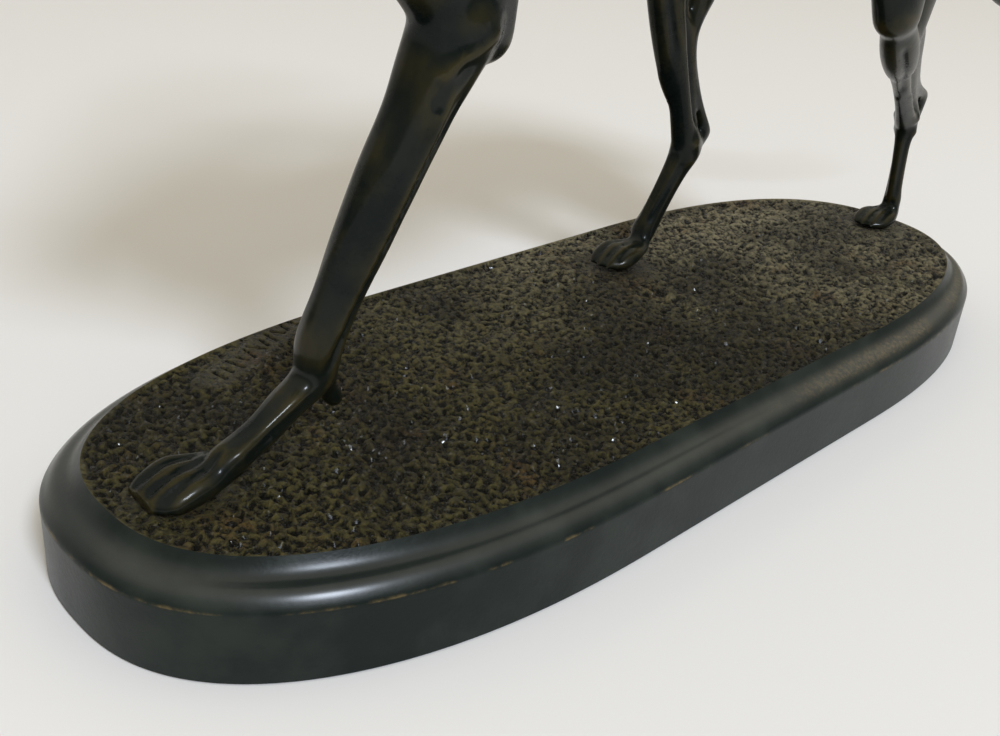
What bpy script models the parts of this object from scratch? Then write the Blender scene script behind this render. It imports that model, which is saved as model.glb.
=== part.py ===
"""A bronze greyhound with one forepaw raised, on an oval moulded plinth.

The plinth is one casting with a rough patch of ground on top. The dog is a second casting
that stands on it by three paws. Lengths are metres, +Z is up, the dog faces -X, and the
origin is in the middle of the plinth's underside.
"""

import math

import bmesh
import bpy
import numpy as np
from mathutils import Vector

# Plinth sizes
PLINTH_LENGTH = 0.3200
PLINTH_WIDTH = 0.1156
STRAIGHT_LENGTH = 0.0942      # middle stretch between the two rounded ends
END_FULLNESS = 2.44           # 2 is an ellipse, more is squarer
BAND_HEIGHT = 0.0168          # upright band below the moulding
FOOT_CHAMFER = 0.0005
MOULDING_RISE = 0.0070
MOULDING_WIDTH = 0.0082
OGEE_STRENGTH = 0.72          # 0 is a plain slope, 1 has a level shelf half way
GROUND_HOLLOW = 0.0007        # depth of the ground's shallow dips
GROUND_PAD = 0.016            # level place kept round each planted paw

# Figure size: every pose, thickness and muscle below is a share of this height
WITHERS_HEIGHT = 0.2000
PAW_GAP = 0.0003              # clearance between the soles and the ground

# Fineness of the meshes
OUTLINE_POINTS = 72
MOULDING_STEPS = 8
GROUND_RINGS = 7
RING_SIDES = 20
PATH_STEPS = 4                # rings between two stations of a body
MUSCLE_RINGS = 14
CAP_REACHES = (0.40, 0.72, 0.93)
SKIN_VOXEL = 0.0012
SKIN_SMOOTHING = 7
DOG_TRIANGLES = 7200

GROUND_LEVEL = BAND_HEIGHT + MOULDING_RISE

# Places on the figure, as shares of the withers height: x, y, and height above the ground
BLADE_TOP = (-0.400, 0.045, 0.945)
BLADE_BACK = (-0.335, 0.075, 0.880)
LOIN_SIDE = (0.220, 0.045, 0.930)
FLANK = (0.240, 0.065, 0.735)
SEAT = (0.545, 0.050, 0.745)

STANDING_FORE = {
    "shoulder": (-0.575, -0.095, 0.700),
    "elbow": (-0.411, -0.074, 0.440),
    "elbow_point": (0.050, 0.003, -0.012),
    "carpus": (-0.541, -0.028, 0.086),
    "wrist_pad": (0.038, 0.007, -0.040),
    "pastern": (-0.607, -0.036, 0.046),
    "fetlock": (-0.652, -0.040, 0.031),
    "paw": (-0.694, -0.028, 0.000),
    "heading": (-1.0, -0.06, 0.0),
    "back_of_paw": (0.0, 0.0, 1.0),
    "paw_size": 1.0,
    "paw_lift": 0.72,
}
RAISED_FORE = {
    "shoulder": (-0.570, 0.095, 0.720),
    "elbow": (-0.370, 0.096, 0.520),
    "elbow_point": (0.058, 0.000, 0.030),
    "carpus": (-0.680, 0.082, 0.697),
    "wrist_pad": (0.048, 0.000, -0.030),
    "pastern": (-0.659, 0.082, 0.640),
    "fetlock": (-0.644, 0.081, 0.592),
    "paw": (-0.632, 0.081, 0.550),
    "heading": (0.42, 0.0, -0.90),
    "back_of_paw": (-0.90, 0.0, -0.42),
    "paw_size": 0.95,
    "paw_lift": 1.0,
}
NEAR_HIND = {
    "hip": (0.355, -0.075, 0.825),
    "stifle": (0.365, -0.127, 0.414),
    "hock": (0.724, -0.012, 0.190),
    "heel": (0.771, -0.008, 0.224),
    "fetlock": (0.741, -0.014, 0.034),
    "paw": (0.705, -0.010, 0.000),
    "heading": (-1.0, -0.10, 0.0),
    "paw_size": 0.88,
    "paw_lift": 0.60,
    "calf": (0.458, -0.083, 0.404),
    "calf_end": (0.528, -0.074, 0.366),
    "cannon_size": 0.95,
    "belly_end": 0.47,
}
FAR_HIND = {
    "hip": (0.355, 0.075, 0.850),
    "stifle": (0.130, 0.122, 0.545),
    "hock": (0.284, 0.128, 0.165),
    "heel": (0.335, 0.133, 0.182),
    "fetlock": (0.213, 0.136, 0.036),
    "paw": (0.146, 0.124, 0.000),
    "heading": (-1.0, -0.10, 0.0),
    "paw_size": 0.90,
    "paw_lift": 0.90,
    "calf": (0.260, 0.127, 0.512),
    "calf_end": (0.274, 0.128, 0.434),
    "cannon_size": 1.14,
    "belly_end": 0.80,
}

# Sections of a forearm: share of the way from elbow to wrist, forward bow, half width, half depth
FOREARM_SECTIONS = (
    (-0.03, 0.000, 0.0420, 0.0490),
    (0.12, 0.002, 0.0370, 0.0420),
    (0.24, 0.004, 0.0320, 0.0360),
    (0.40, 0.006, 0.0310, 0.0360),
    (0.60, 0.008, 0.0275, 0.0320),
    (0.76, 0.009, 0.0240, 0.0265),
    (0.90, 0.006, 0.0250, 0.0270),
    (1.00, -0.004, 0.0240, 0.0210),
)
# Muscles that run down it: share, angle from its front to its outer side, reach, half sizes
FOREARM_STRANDS = (
    ((-0.05, 55, 0.016, 0.020, 0.022), (0.16, 60, 0.018, 0.023, 0.026),
     (0.40, 62, 0.014, 0.018, 0.020), (0.72, 50, 0.009, 0.012, 0.014)),
    ((0.02, 120, 0.012, 0.020, 0.022), (0.20, 118, 0.014, 0.020, 0.022),
     (0.50, 112, 0.012, 0.014, 0.016), (0.85, 100, 0.010, 0.009, 0.012)),
    ((0.12, 195, 0.018, 0.020, 0.020), (0.40, 185, 0.020, 0.013, 0.014),
     (0.70, 175, 0.013, 0.009, 0.010), (0.88, 170, 0.016, 0.008, 0.010),
     (1.02, 172, 0.029, 0.009, 0.010)),
)
# Sections of a shank from stifle to hock: share, half width, half depth
SHANK_SECTIONS = (
    (0.00, 0.0210, 0.0360),
    (0.14, 0.0210, 0.0360),
    (0.36, 0.0200, 0.0320),
    (0.60, 0.0170, 0.0250),
    (0.80, 0.0165, 0.0245),
    (0.94, 0.0185, 0.0275),
)
# Sections of the bone below the hock, times the leg's cannon_size
CANNON_SECTIONS = (
    (0.00, 0.0205, 0.0270),
    (0.20, 0.0165, 0.0235),
    (0.50, 0.0150, 0.0210),
    (0.84, 0.0165, 0.0195),
    (1.00, 0.0200, 0.0170),
)
# Toes of a paw: sideways place and how far forward each stands
TOES = ((-0.0240, -0.012), (-0.0090, 0.003), (0.0100, 0.005), (0.0290, -0.001))
# Sections of a toe: forward, lift, share of its sideways place, half width, half depth
TOE_SECTIONS = (
    (-0.048, 0.0230, 0.55, 0.0110, 0.0125),
    (-0.026, 0.0245, 0.85, 0.0102, 0.0118),
    (-0.006, 0.0245, 1.02, 0.0120, 0.0132),
    (0.014, 0.0170, 1.08, 0.0108, 0.0114),
    (0.026, 0.0110, 1.05, 0.0106, 0.0102),
)

# Trunk from chest to seat: x, top line, under line, half width
TRUNK_SECTIONS = (
    (-0.570, 0.790, 0.610, 0.055),
    (-0.520, 0.885, 0.545, 0.092),
    (-0.420, 0.955, 0.475, 0.114),
    (-0.300, 0.962, 0.447, 0.124),
    (-0.150, 0.958, 0.468, 0.123),
    (0.000, 0.962, 0.528, 0.110),
    (0.120, 0.974, 0.625, 0.088),
    (0.240, 0.983, 0.700, 0.078),
    (0.360, 0.970, 0.705, 0.092),
    (0.480, 0.915, 0.680, 0.088),
    (0.545, 0.860, 0.690, 0.062),
)
# Neck from its root to the head: x, y, height, half width, half depth
NECK_SECTIONS = (
    (-0.415, 0.000, 0.780, 0.088, 0.150),
    (-0.410, 0.000, 0.900, 0.076, 0.128),
    (-0.380, -0.002, 1.020, 0.060, 0.098),
    (-0.332, -0.010, 1.130, 0.051, 0.078),
    (-0.262, -0.020, 1.235, 0.048, 0.068),
    (-0.180, -0.030, 1.300, 0.047, 0.060),
)
# Head behind its own heading: distance forward, lift, half width, half depth
HEAD_BACK = (-0.185, -0.030, 1.335)
HEAD_HEADING = (0.90, -0.35, -0.16)
HEAD_SECTIONS = (
    (0.000, 0.000, 0.044, 0.044),
    (0.060, 0.008, 0.059, 0.054),
    (0.125, 0.005, 0.056, 0.048),
    (0.180, -0.004, 0.040, 0.037),
    (0.245, -0.013, 0.029, 0.030),
    (0.310, -0.021, 0.024, 0.024),
    (0.352, -0.026, 0.019, 0.018),
)
JAW_SECTIONS = (
    (0.060, -0.034, 0.040, 0.034),
    (0.140, -0.040, 0.031, 0.027),
    (0.225, -0.040, 0.022, 0.018),
    (0.315, -0.042, 0.017, 0.013),
)
# Tail from the croup to its tip: x, y, height, half thickness
TAIL_SECTIONS = (
    (0.500, 0.000, 0.850, 0.034),
    (0.570, 0.000, 0.765, 0.030),
    (0.640, 0.000, 0.665, 0.025),
    (0.720, 0.000, 0.561, 0.021),
    (0.824, 0.000, 0.473, 0.018),
    (0.936, 0.000, 0.405, 0.015),
    (1.032, 0.000, 0.365, 0.0125),
    (1.120, 0.000, 0.358, 0.010),
    (1.190, 0.000, 0.375, 0.007),
)

def clear_scene():
    for obj in list(bpy.data.objects):
        bpy.data.objects.remove(obj, do_unlink=True)


def bronze(name, colour, roughness):
    material = bpy.data.materials.new(name)
    material.use_nodes = True
    shader = material.node_tree.nodes["Principled BSDF"]
    shader.inputs["Base Color"].default_value = (*colour, 1.0)
    shader.inputs["Metallic"].default_value = 1.0
    shader.inputs["Roughness"].default_value = roughness
    return material


def add_object(name, mesh, material):
    obj = bpy.data.objects.new(name, mesh)
    bpy.context.scene.collection.objects.link(obj)
    mesh.materials.clear()
    mesh.materials.append(material)
    return obj


# Plinth


def outline_point(turn, inset):
    """Point of the plinth's plan at a turn in radians, drawn in by an inset."""
    end_length = (PLINTH_LENGTH - STRAIGHT_LENGTH) / 2 - inset
    half_width = PLINTH_WIDTH / 2 - inset
    power = 2 / END_FULLNESS
    along = abs(math.cos(turn)) ** power * math.copysign(1, math.cos(turn))
    across = abs(math.sin(turn)) ** power * math.copysign(1, math.sin(turn))
    straight = math.copysign(STRAIGHT_LENGTH / 2, math.cos(turn))
    if abs(math.cos(turn)) < 1e-9:
        straight = 0.0
    return straight + end_length * along, half_width * across


def outline_turns():
    """Turns that spread the outline's points evenly along the plan."""
    fine = 4000
    turns = [2 * math.pi * k / fine for k in range(fine + 1)]
    points = [Vector(outline_point(turn, 0.0)) for turn in turns]
    run = [0.0]
    for start, end in zip(points, points[1:]):
        run.append(run[-1] + (end - start).length)
    wanted = [run[-1] * k / OUTLINE_POINTS for k in range(OUTLINE_POINTS)]
    return [float(turn) for turn in np.interp(wanted, run, turns)]


def planted_paws():
    return [leg["paw"] for leg in (STANDING_FORE, NEAR_HIND, FAR_HIND)]


def ground_dip(x, y):
    """Depth of the ground's hollows at a place, level beneath the planted paws."""
    waves = math.sin(210 * x + 60 * y) * math.cos(170 * y - 40 * x)
    waves += 0.6 * math.sin(330 * x - 150 * y + 1.1)
    depth = GROUND_HOLLOW * (1 + waves / 1.6) / 2
    for paw in planted_paws():
        away = math.hypot(x - paw[0] * WITHERS_HEIGHT, y - paw[1] * WITHERS_HEIGHT)
        depth *= min(1.0, max(0.0, away / GROUND_PAD - 0.6))
    return depth


def plinth_rings():
    """(inset, height, is_ground) of each ring, from the underside to the middle of the top."""
    rings = [(FOOT_CHAMFER, 0.0, False), (0.0, FOOT_CHAMFER, False)]
    for step in range(MOULDING_STEPS + 1):
        share = step / MOULDING_STEPS
        rise = share + OGEE_STRENGTH * math.sin(2 * math.pi * share) / (2 * math.pi)
        height = BAND_HEIGHT + MOULDING_RISE * rise
        rings.append((MOULDING_WIDTH * share, height, False))
    reach = PLINTH_WIDTH / 2 - MOULDING_WIDTH
    for step in range(1, GROUND_RINGS):
        inset = MOULDING_WIDTH + reach * step / GROUND_RINGS
        rings.append((inset, GROUND_LEVEL, True))
    return rings


def build_plinth(material):
    turns = outline_turns()
    bm = bmesh.new()
    loops = []
    for inset, height, is_ground in plinth_rings():
        loop = []
        for turn in turns:
            x, y = outline_point(turn, inset)
            dip = ground_dip(x, y) if is_ground else 0.0
            loop.append(bm.verts.new((x, y, height - dip)))
        loops.append(loop)
    for lower, upper in zip(loops, loops[1:]):
        for k in range(OUTLINE_POINTS):
            after = (k + 1) % OUTLINE_POINTS
            bm.faces.new((lower[k], lower[after], upper[after], upper[k]))
    bm.faces.new(list(reversed(loops[0])))
    bm.faces.new(loops[-1])
    bmesh.ops.triangulate(bm, faces=[f for f in bm.faces if len(f.verts) > 4])
    bmesh.ops.recalc_face_normals(bm, faces=bm.faces)
    mesh = bpy.data.meshes.new("base")
    bm.to_mesh(mesh)
    bm.free()
    mesh.shade_smooth()
    mesh.set_sharp_from_angle(angle=math.radians(35))
    return add_object("base", mesh, material)


# Dog


def place(share):
    """Turn a share of the withers height into a place on the plinth."""
    return Vector(share) * WITHERS_HEIGHT + Vector((0.0, 0.0, GROUND_LEVEL + PAW_GAP))


def between(a, b, share):
    return Vector(a).lerp(Vector(b), share)


def mirrored(point, side):
    """The same place on the left (-1) or right (+1) side of the dog."""
    return Vector((point[0], point[1] * side, point[2]))


def smooth_path(stations):
    """Catmull-Rom curve through rows of numbers."""
    rows = np.array([stations[0], *stations, stations[-1]])
    curve = []
    for p0, p1, p2, p3 in zip(rows, rows[1:], rows[2:], rows[3:]):
        for step in range(PATH_STEPS):
            t = step / PATH_STEPS
            square = 2 * p0 - 5 * p1 + 4 * p2 - p3
            cube = 3 * p1 - p0 - 3 * p2 + p3
            curve.append(0.5 * (2 * p1 + (p2 - p0) * t + square * t ** 2 + cube * t ** 3))
    curve.append(rows[-2])
    return curve


def domed(curve):
    """Rings of (centre, direction, width, depth) along a curve, with a round cap on each end."""
    rings = []
    for k, row in enumerate(curve):
        before = curve[max(k - 1, 0)]
        after = curve[min(k + 1, len(curve) - 1)]
        rings.append((Vector(row[:3]), Vector(after[:3] - before[:3]).normalized(), *row[3:]))
    for outward in (-1, 1):
        centre, along, width, depth = rings[0] if outward < 0 else rings[-1]
        for reach in CAP_REACHES:
            narrow = math.sqrt(1 - reach ** 2)
            out = centre + along * min(width, depth) * reach * outward
            ring = (out, along, width * narrow, depth * narrow)
            rings.insert(0 if outward < 0 else len(rings), ring)
    return rings


def loft(bm, rings):
    """Closed skin over rings of (centre, half width, half depth), both halves as vectors."""
    turns = [2 * math.pi * k / RING_SIDES for k in range(RING_SIDES)]
    loops = []
    for centre, wide, deep in rings:
        rim = [centre + wide * math.cos(turn) + deep * math.sin(turn) for turn in turns]
        loops.append([bm.verts.new(place(point)) for point in rim])
    for lower, upper in zip(loops, loops[1:]):
        for k in range(RING_SIDES):
            after = (k + 1) % RING_SIDES
            bm.faces.new((lower[k], lower[after], upper[after], upper[k]))
    bm.faces.new(list(reversed(loops[0])))
    bm.faces.new(loops[-1])


def cross_axes(along, side):
    """Unit directions of a section's width and depth, its width as near side as it can be."""
    across = (Vector(side) - along * Vector(side).dot(along)).normalized()
    return across, along.cross(across)


def tube(bm, stations, side=(0, 1, 0)):
    """Round-ended body through (place, half width, half depth); side points along the width."""
    rows = [[*point, width, depth] for point, width, depth in stations]
    rings = []
    for centre, along, width, depth in domed(smooth_path(rows)):
        across, fore = cross_axes(along, side)
        rings.append((centre, across * width, fore * depth))
    loft(bm, rings)


def muscle(bm, start, end, width, depth, side=(0, 1, 0)):
    """Egg-shaped body from start to end, with a half width along side and a half depth."""
    start, end = Vector(start), Vector(end)
    across, fore = cross_axes((end - start).normalized(), side)
    rings = []
    for k in range(1, MUSCLE_RINGS):
        turn = math.pi * k / MUSCLE_RINGS
        centre = start.lerp(end, (1 - math.cos(turn)) / 2)
        full = math.sin(turn)
        rings.append((centre, across * width * full, fore * depth * full))
    loft(bm, rings)


def bead(bm, centre, radius):
    """Small round knob."""
    reach = Vector((0, 0, radius))
    muscle(bm, Vector(centre) - reach, Vector(centre) + reach, radius, radius)


def paw_frame(leg, back_of_paw):
    """The paw's centre and its own forward, upward and sideways steps."""
    size = leg["paw_size"]
    ahead = Vector(leg["heading"]).normalized() * size
    side = ahead.cross(Vector(back_of_paw)).normalized() * size
    return Vector(leg["paw"]), ahead, Vector(back_of_paw) * size * leg["paw_lift"], side


def paw(bm, leg, back_of_paw):
    """Four arched toes round a pad; back_of_paw points out of the upper side."""
    size = leg["paw_size"]
    centre, ahead, up, side = paw_frame(leg, back_of_paw)
    for spread, forward in TOES:
        rows = []
        for far, lift, fan, wide, deep in TOE_SECTIONS:
            point = centre + ahead * (forward + far) + up * lift + side * spread * fan
            rows.append((point, wide * size, deep * size))
        tube(bm, rows, side)
    heel_pad = centre - ahead * 0.046 + up * 0.013
    muscle(bm, heel_pad, centre + ahead * 0.022 + up * 0.010, 0.029 * size, 0.015 * size, side)


def round_bone(a, b, share, angle, reach, side):
    """A place beside a bone: angle 0 is in front of it, 90 on its outer side, 180 behind."""
    along = (Vector(b) - Vector(a)).normalized()
    front = (Vector((-1, 0, 0)) + along * along.x).normalized()
    outer = Vector((0, side, 0)) - along * along.y * side
    outer = (outer - front * outer.dot(front)).normalized()
    turn = math.radians(angle)
    return between(a, b, share) + (front * math.cos(turn) + outer * math.sin(turn)) * reach


def foreleg(bm, leg, side):
    """Shoulder, arm, forearm and paw of one foreleg."""
    shoulder, elbow, carpus = leg["shoulder"], leg["elbow"], leg["carpus"]
    blade_top = mirrored(BLADE_TOP, side)
    blade_back = mirrored(BLADE_BACK, side)
    muscle(bm, blade_top + Vector((0, 0, 0.03)), between(shoulder, blade_top, -0.25),
           0.046, 0.080)
    muscle(bm, blade_back, between(blade_back, elbow, 1.12), 0.045, 0.085)
    muscle(bm, between(shoulder, elbow, -0.28), between(shoulder, elbow, 1.08), 0.044, 0.054)
    forearm = []
    for share, bow, width, depth in FOREARM_SECTIONS:
        forearm.append((round_bone(elbow, carpus, share, 0, bow, side), width, depth))
    forearm.append((between(carpus, leg["pastern"], 0.5), 0.0235, 0.0185))
    forearm.append((leg["pastern"], 0.0215, 0.0180))
    forearm.append((leg["fetlock"], 0.0225, 0.0165))
    tube(bm, forearm)
    for strand in FOREARM_STRANDS:
        rows = []
        for share, angle, reach, width, depth in strand:
            point = round_bone(elbow, carpus, share, angle, reach, side)
            rows.append((point, width, depth))
        tube(bm, rows)
    point = Vector(elbow) + Vector(leg["elbow_point"])
    tube(bm, [(point + Vector((0.002, 0, 0.090)), 0.030, 0.028), (point, 0.024, 0.028)])
    tube(bm, [(elbow, 0.030, 0.034), (point, 0.024, 0.028)])
    knob = Vector(carpus) + Vector(leg["wrist_pad"])
    tube(bm, [(between(carpus, knob, 0.55), 0.0100, 0.0110), (knob, 0.0118, 0.0125)])
    paw(bm, leg, leg["back_of_paw"])


def hindleg(bm, leg, side):
    """Rump, thigh, shank, hock and paw of one hind leg."""
    hip, stifle, hock = (Vector(leg[key]) for key in ("hip", "stifle", "hock"))
    heel, fetlock = Vector(leg["heel"]), Vector(leg["fetlock"])
    seat = mirrored(SEAT, side)
    muscle(bm, mirrored(LOIN_SIDE, side), between(hip, seat, 0.55), 0.052, 0.080)
    thigh = [
        (between(hip, stifle, -0.10), 0.050, 0.100),
        (between(hip, stifle, 0.22), 0.060, 0.122),
        (between(hip, stifle, 0.55), 0.050, 0.100),
        (between(hip, stifle, 0.85), 0.034, 0.066),
        (between(hip, stifle, 1.02), 0.028, 0.046),
    ]
    tube(bm, thigh)
    below_knee = between(stifle, hock, 0.30)
    ham = [
        (between(seat, hip, 0.10), 0.046, 0.070),
        (between(seat, below_knee, 0.35), 0.044, 0.086),
        (between(seat, below_knee, 0.70), 0.032, 0.068),
        (below_knee, 0.020, 0.036),
    ]
    tube(bm, ham)
    muscle(bm, mirrored(FLANK, side), between(stifle, hip, -0.05), 0.024, 0.055)
    cannon = leg["cannon_size"]
    shank = [(between(stifle, hock, share), width, depth)
             for share, width, depth in SHANK_SECTIONS]
    shank += [(between(hock, fetlock, share), width * cannon, depth * cannon)
              for share, width, depth in CANNON_SECTIONS]
    tube(bm, shank)

    def beside(share, angle, reach):
        return round_bone(stifle, hock, share, angle, reach, side)

    muscle(bm, beside(-0.06, 25, 0.014), beside(leg["belly_end"], 25, 0.018), 0.0215, 0.027)
    muscle(bm, beside(0.00, 80, 0.012), beside(leg["belly_end"], 80, 0.014), 0.0210, 0.027)
    string = [
        (leg["calf"], 0.026, 0.046),
        (leg["calf_end"], 0.021, 0.034),
        (between(stifle, hock, 0.56) + (heel - hock) * 0.64, 0.012, 0.018),
        (between(stifle, hock, 0.80) + (heel - hock) * 0.70, 0.0085, 0.012),
        (between(heel, hock, 0.02), 0.0125, 0.014),
    ]
    tube(bm, string)
    tube(bm, [(between(heel, hock, 0.15), 0.0125, 0.016),
              (between(hock, fetlock, 0.28) + (heel - hock) * 0.16, 0.011, 0.013)])
    for hand in (-1, 1):
        across = Vector((0, 0.0185 * hand, 0))
        bead(bm, between(stifle, hock, 0.97) + across, 0.0105)
        bead(bm, between(hock, fetlock, 0.13) + across * 0.95, 0.0090)
    paw(bm, leg, (0, 0, 1))


def trunk(bm):
    stations = []
    for x, top, bottom, half_width in TRUNK_SECTIONS:
        stations.append(((x, 0.0, (top + bottom) / 2), half_width, (top - bottom) / 2))
    tube(bm, stations)
    for side in (-1, 1):
        muscle(bm, mirrored((-0.600, 0.030, 0.740), side), mirrored((-0.430, 0.060, 0.500), side),
               0.048, 0.056)
        muscle(bm, mirrored((-0.340, 0.036, 0.935), side), mirrored((0.400, 0.040, 0.925), side),
               0.038, 0.048)


def neck_and_head(bm):
    neck = [(point, width, depth) for *point, width, depth in NECK_SECTIONS]
    tube(bm, neck)
    heading = Vector(HEAD_HEADING).normalized()
    side = heading.cross(Vector((0, 0, 1))).normalized()
    crown = side.cross(heading)
    back = Vector(HEAD_BACK)
    skull = [(back + heading * far + crown * lift, width, depth)
             for far, lift, width, depth in HEAD_SECTIONS]
    tube(bm, skull, side)
    jaw = [(back + heading * far + crown * lift, width, depth)
           for far, lift, width, depth in JAW_SECTIONS]
    tube(bm, jaw, side)
    for hand in (-1, 1):
        root = back + heading * 0.055 + crown * 0.034 + side * 0.044 * hand
        fold = back + heading * 0.010 + crown * 0.040 + side * 0.056 * hand
        tip = back - heading * 0.060 + crown * 0.008 + side * 0.050 * hand
        tube(bm, [(root, 0.013, 0.018), (fold, 0.014, 0.024), (tip, 0.007, 0.010)], side)


def tail(bm):
    tube(bm, [(point, thick, thick) for *point, thick in TAIL_SECTIONS])


def fused(bm, name):
    """One closed skin round all the overlapping bodies, as a mesh."""
    mesh = bpy.data.meshes.new(name + "_bodies")
    bm.to_mesh(mesh)
    bm.free()
    bodies = bpy.data.objects.new(name + "_bodies", mesh)
    bpy.context.scene.collection.objects.link(bodies)
    skin = bodies.modifiers.new("Skin", "REMESH")
    skin.mode = "VOXEL"
    skin.voxel_size = SKIN_VOXEL
    smooth = bodies.modifiers.new("Blend", "SMOOTH")
    smooth.factor = 0.5
    smooth.iterations = SKIN_SMOOTHING
    graph = bpy.context.evaluated_depsgraph_get()
    result = bpy.data.meshes.new_from_object(bodies.evaluated_get(graph))
    bpy.data.objects.remove(bodies, do_unlink=True)
    bpy.data.meshes.remove(mesh)
    result.name = name
    return result


def stand_on_ground(mesh):
    """Press the soles flat just above the ground."""
    lowest = GROUND_LEVEL + PAW_GAP
    for vertex in mesh.vertices:
        vertex.co.z = max(vertex.co.z, lowest)


def build_dog(material):
    bm = bmesh.new()
    trunk(bm)
    foreleg(bm, STANDING_FORE, -1)
    foreleg(bm, RAISED_FORE, 1)
    hindleg(bm, NEAR_HIND, -1)
    hindleg(bm, FAR_HIND, 1)
    neck_and_head(bm)
    tail(bm)
    mesh = fused(bm, "greyhound")
    stand_on_ground(mesh)
    mesh.shade_smooth()
    dog = add_object("greyhound", mesh, material)
    thin = dog.modifiers.new("Fewer faces", "DECIMATE")
    thin.ratio = DOG_TRIANGLES / sum(len(face.vertices) - 2 for face in mesh.polygons)
    return dog


def main():
    clear_scene()
    build_plinth(bronze("plinth_bronze", (0.045, 0.050, 0.045), 0.35))
    build_dog(bronze("dog_bronze", (0.040, 0.045, 0.042), 0.30))


main()
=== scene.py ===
# %% [markdown]
# # A bronze greyhound on a moulded oval plinth
# The statue is two castings: a dog that stands on three paws, and a low plinth whose top is
# modelled as rough ground. The solids give their sizes and places. This lesson gives them
# their surfaces: sculpted muscles and tendons, a chased ground, and a dark rubbed patina.

import math

import bmesh
import bpy
import numpy as np
from mathutils import Matrix, Vector
from mathutils.bvhtree import BVHTree
from mathutils.geometry import delaunay_2d_cdt


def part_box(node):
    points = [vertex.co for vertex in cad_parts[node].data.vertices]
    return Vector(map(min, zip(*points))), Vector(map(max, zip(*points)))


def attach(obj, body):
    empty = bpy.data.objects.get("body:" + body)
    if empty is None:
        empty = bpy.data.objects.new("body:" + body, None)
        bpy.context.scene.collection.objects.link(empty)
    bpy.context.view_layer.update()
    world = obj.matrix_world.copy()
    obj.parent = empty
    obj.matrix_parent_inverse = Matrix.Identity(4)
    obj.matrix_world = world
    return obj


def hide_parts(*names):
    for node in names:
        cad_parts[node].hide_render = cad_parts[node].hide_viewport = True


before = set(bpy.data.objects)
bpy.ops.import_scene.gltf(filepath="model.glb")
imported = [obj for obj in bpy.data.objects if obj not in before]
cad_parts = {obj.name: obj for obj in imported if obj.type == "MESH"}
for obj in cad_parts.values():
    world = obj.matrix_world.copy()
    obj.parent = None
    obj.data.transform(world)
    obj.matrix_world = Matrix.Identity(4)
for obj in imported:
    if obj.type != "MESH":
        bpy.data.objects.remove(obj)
bpy.context.view_layer.update()
base_low, base_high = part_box("base")
dog_low, dog_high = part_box("greyhound")

# %% [markdown]
# ## The camera
# The statue is seen from its front left, from a little above, with the camera rolled a few
# degrees. A rotation could be typed as angles. Building the three axes of the camera from
# the turn, the tilt and the roll keeps each of them a plain number that can be changed alone.

# %% Camera
EYE = Vector((-0.2304, -0.1760, 0.1556))
EYE_TURN = 0.7504
EYE_TILT = -0.4708
EYE_ROLL = 0.0962
PHOTO_WIDTH = 1000
FOCAL_PIXELS = 1130.95
SENSOR = 36.0
LENS_SHIFT = (-0.01116, -0.01330)
CLIP_START = 0.01


def build_camera():
    level = math.cos(EYE_TILT)
    forward = Vector((level * math.cos(EYE_TURN), level * math.sin(EYE_TURN), math.sin(EYE_TILT)))
    across = forward.cross(Vector((0, 0, 1))).normalized()
    above = across.cross(forward)
    right = across * math.cos(EYE_ROLL) + above * math.sin(EYE_ROLL)
    top = above * math.cos(EYE_ROLL) - across * math.sin(EYE_ROLL)
    lens = bpy.data.cameras.new("camera")
    lens.sensor_width = SENSOR
    lens.lens = FOCAL_PIXELS / PHOTO_WIDTH * SENSOR
    lens.shift_x, lens.shift_y = LENS_SHIFT
    lens.clip_start = CLIP_START
    camera = bpy.data.objects.new("camera", lens)
    turned = Matrix((right, top, -forward)).transposed().to_4x4()
    camera.matrix_world = Matrix.Translation(EYE) @ turned
    bpy.context.scene.collection.objects.link(camera)
    bpy.context.scene.camera = camera


build_camera()
print("camera at", [round(value, 4) for value in EYE])

# %% [markdown]
# ## Sums on sockets
# A node tree is a sum written as boxes and wires. The small class below lets a sum be written
# as a sum: each operator on a wire adds the Math node that does it. One method adds every
# other kind of node, for materials and for geometry alike.

# %% Wires and graphs
class Wire:
    """An output socket that can be added, multiplied and compared."""

    def __init__(self, graph, socket):
        self.graph = graph
        self.socket = socket

    def math(self, operation, *others):
        return self.graph.add("ShaderNodeMath", {"operation": operation}, (self, *others))

    def __add__(self, other):
        return self.math("ADD", other)

    def __sub__(self, other):
        return self.math("SUBTRACT", other)

    def __mul__(self, other):
        return self.math("MULTIPLY", other)

    def __truediv__(self, other):
        return self.math("DIVIDE", other)

    def __pow__(self, other):
        return self.math("POWER", other)

    def __rsub__(self, other):
        return self.graph.add("ShaderNodeMath", {"operation": "SUBTRACT"}, (other, self))

    def __rtruediv__(self, other):
        return self.graph.add("ShaderNodeMath", {"operation": "DIVIDE"}, (other, self))

    def ease(self, low, high):
        """0 below low, 1 above high, and a smooth rise between them."""
        settings = {"interpolation_type": "SMOOTHSTEP"}
        return self.graph.add("ShaderNodeMapRange", settings, (self, low, high, 0.0, 1.0))


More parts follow.
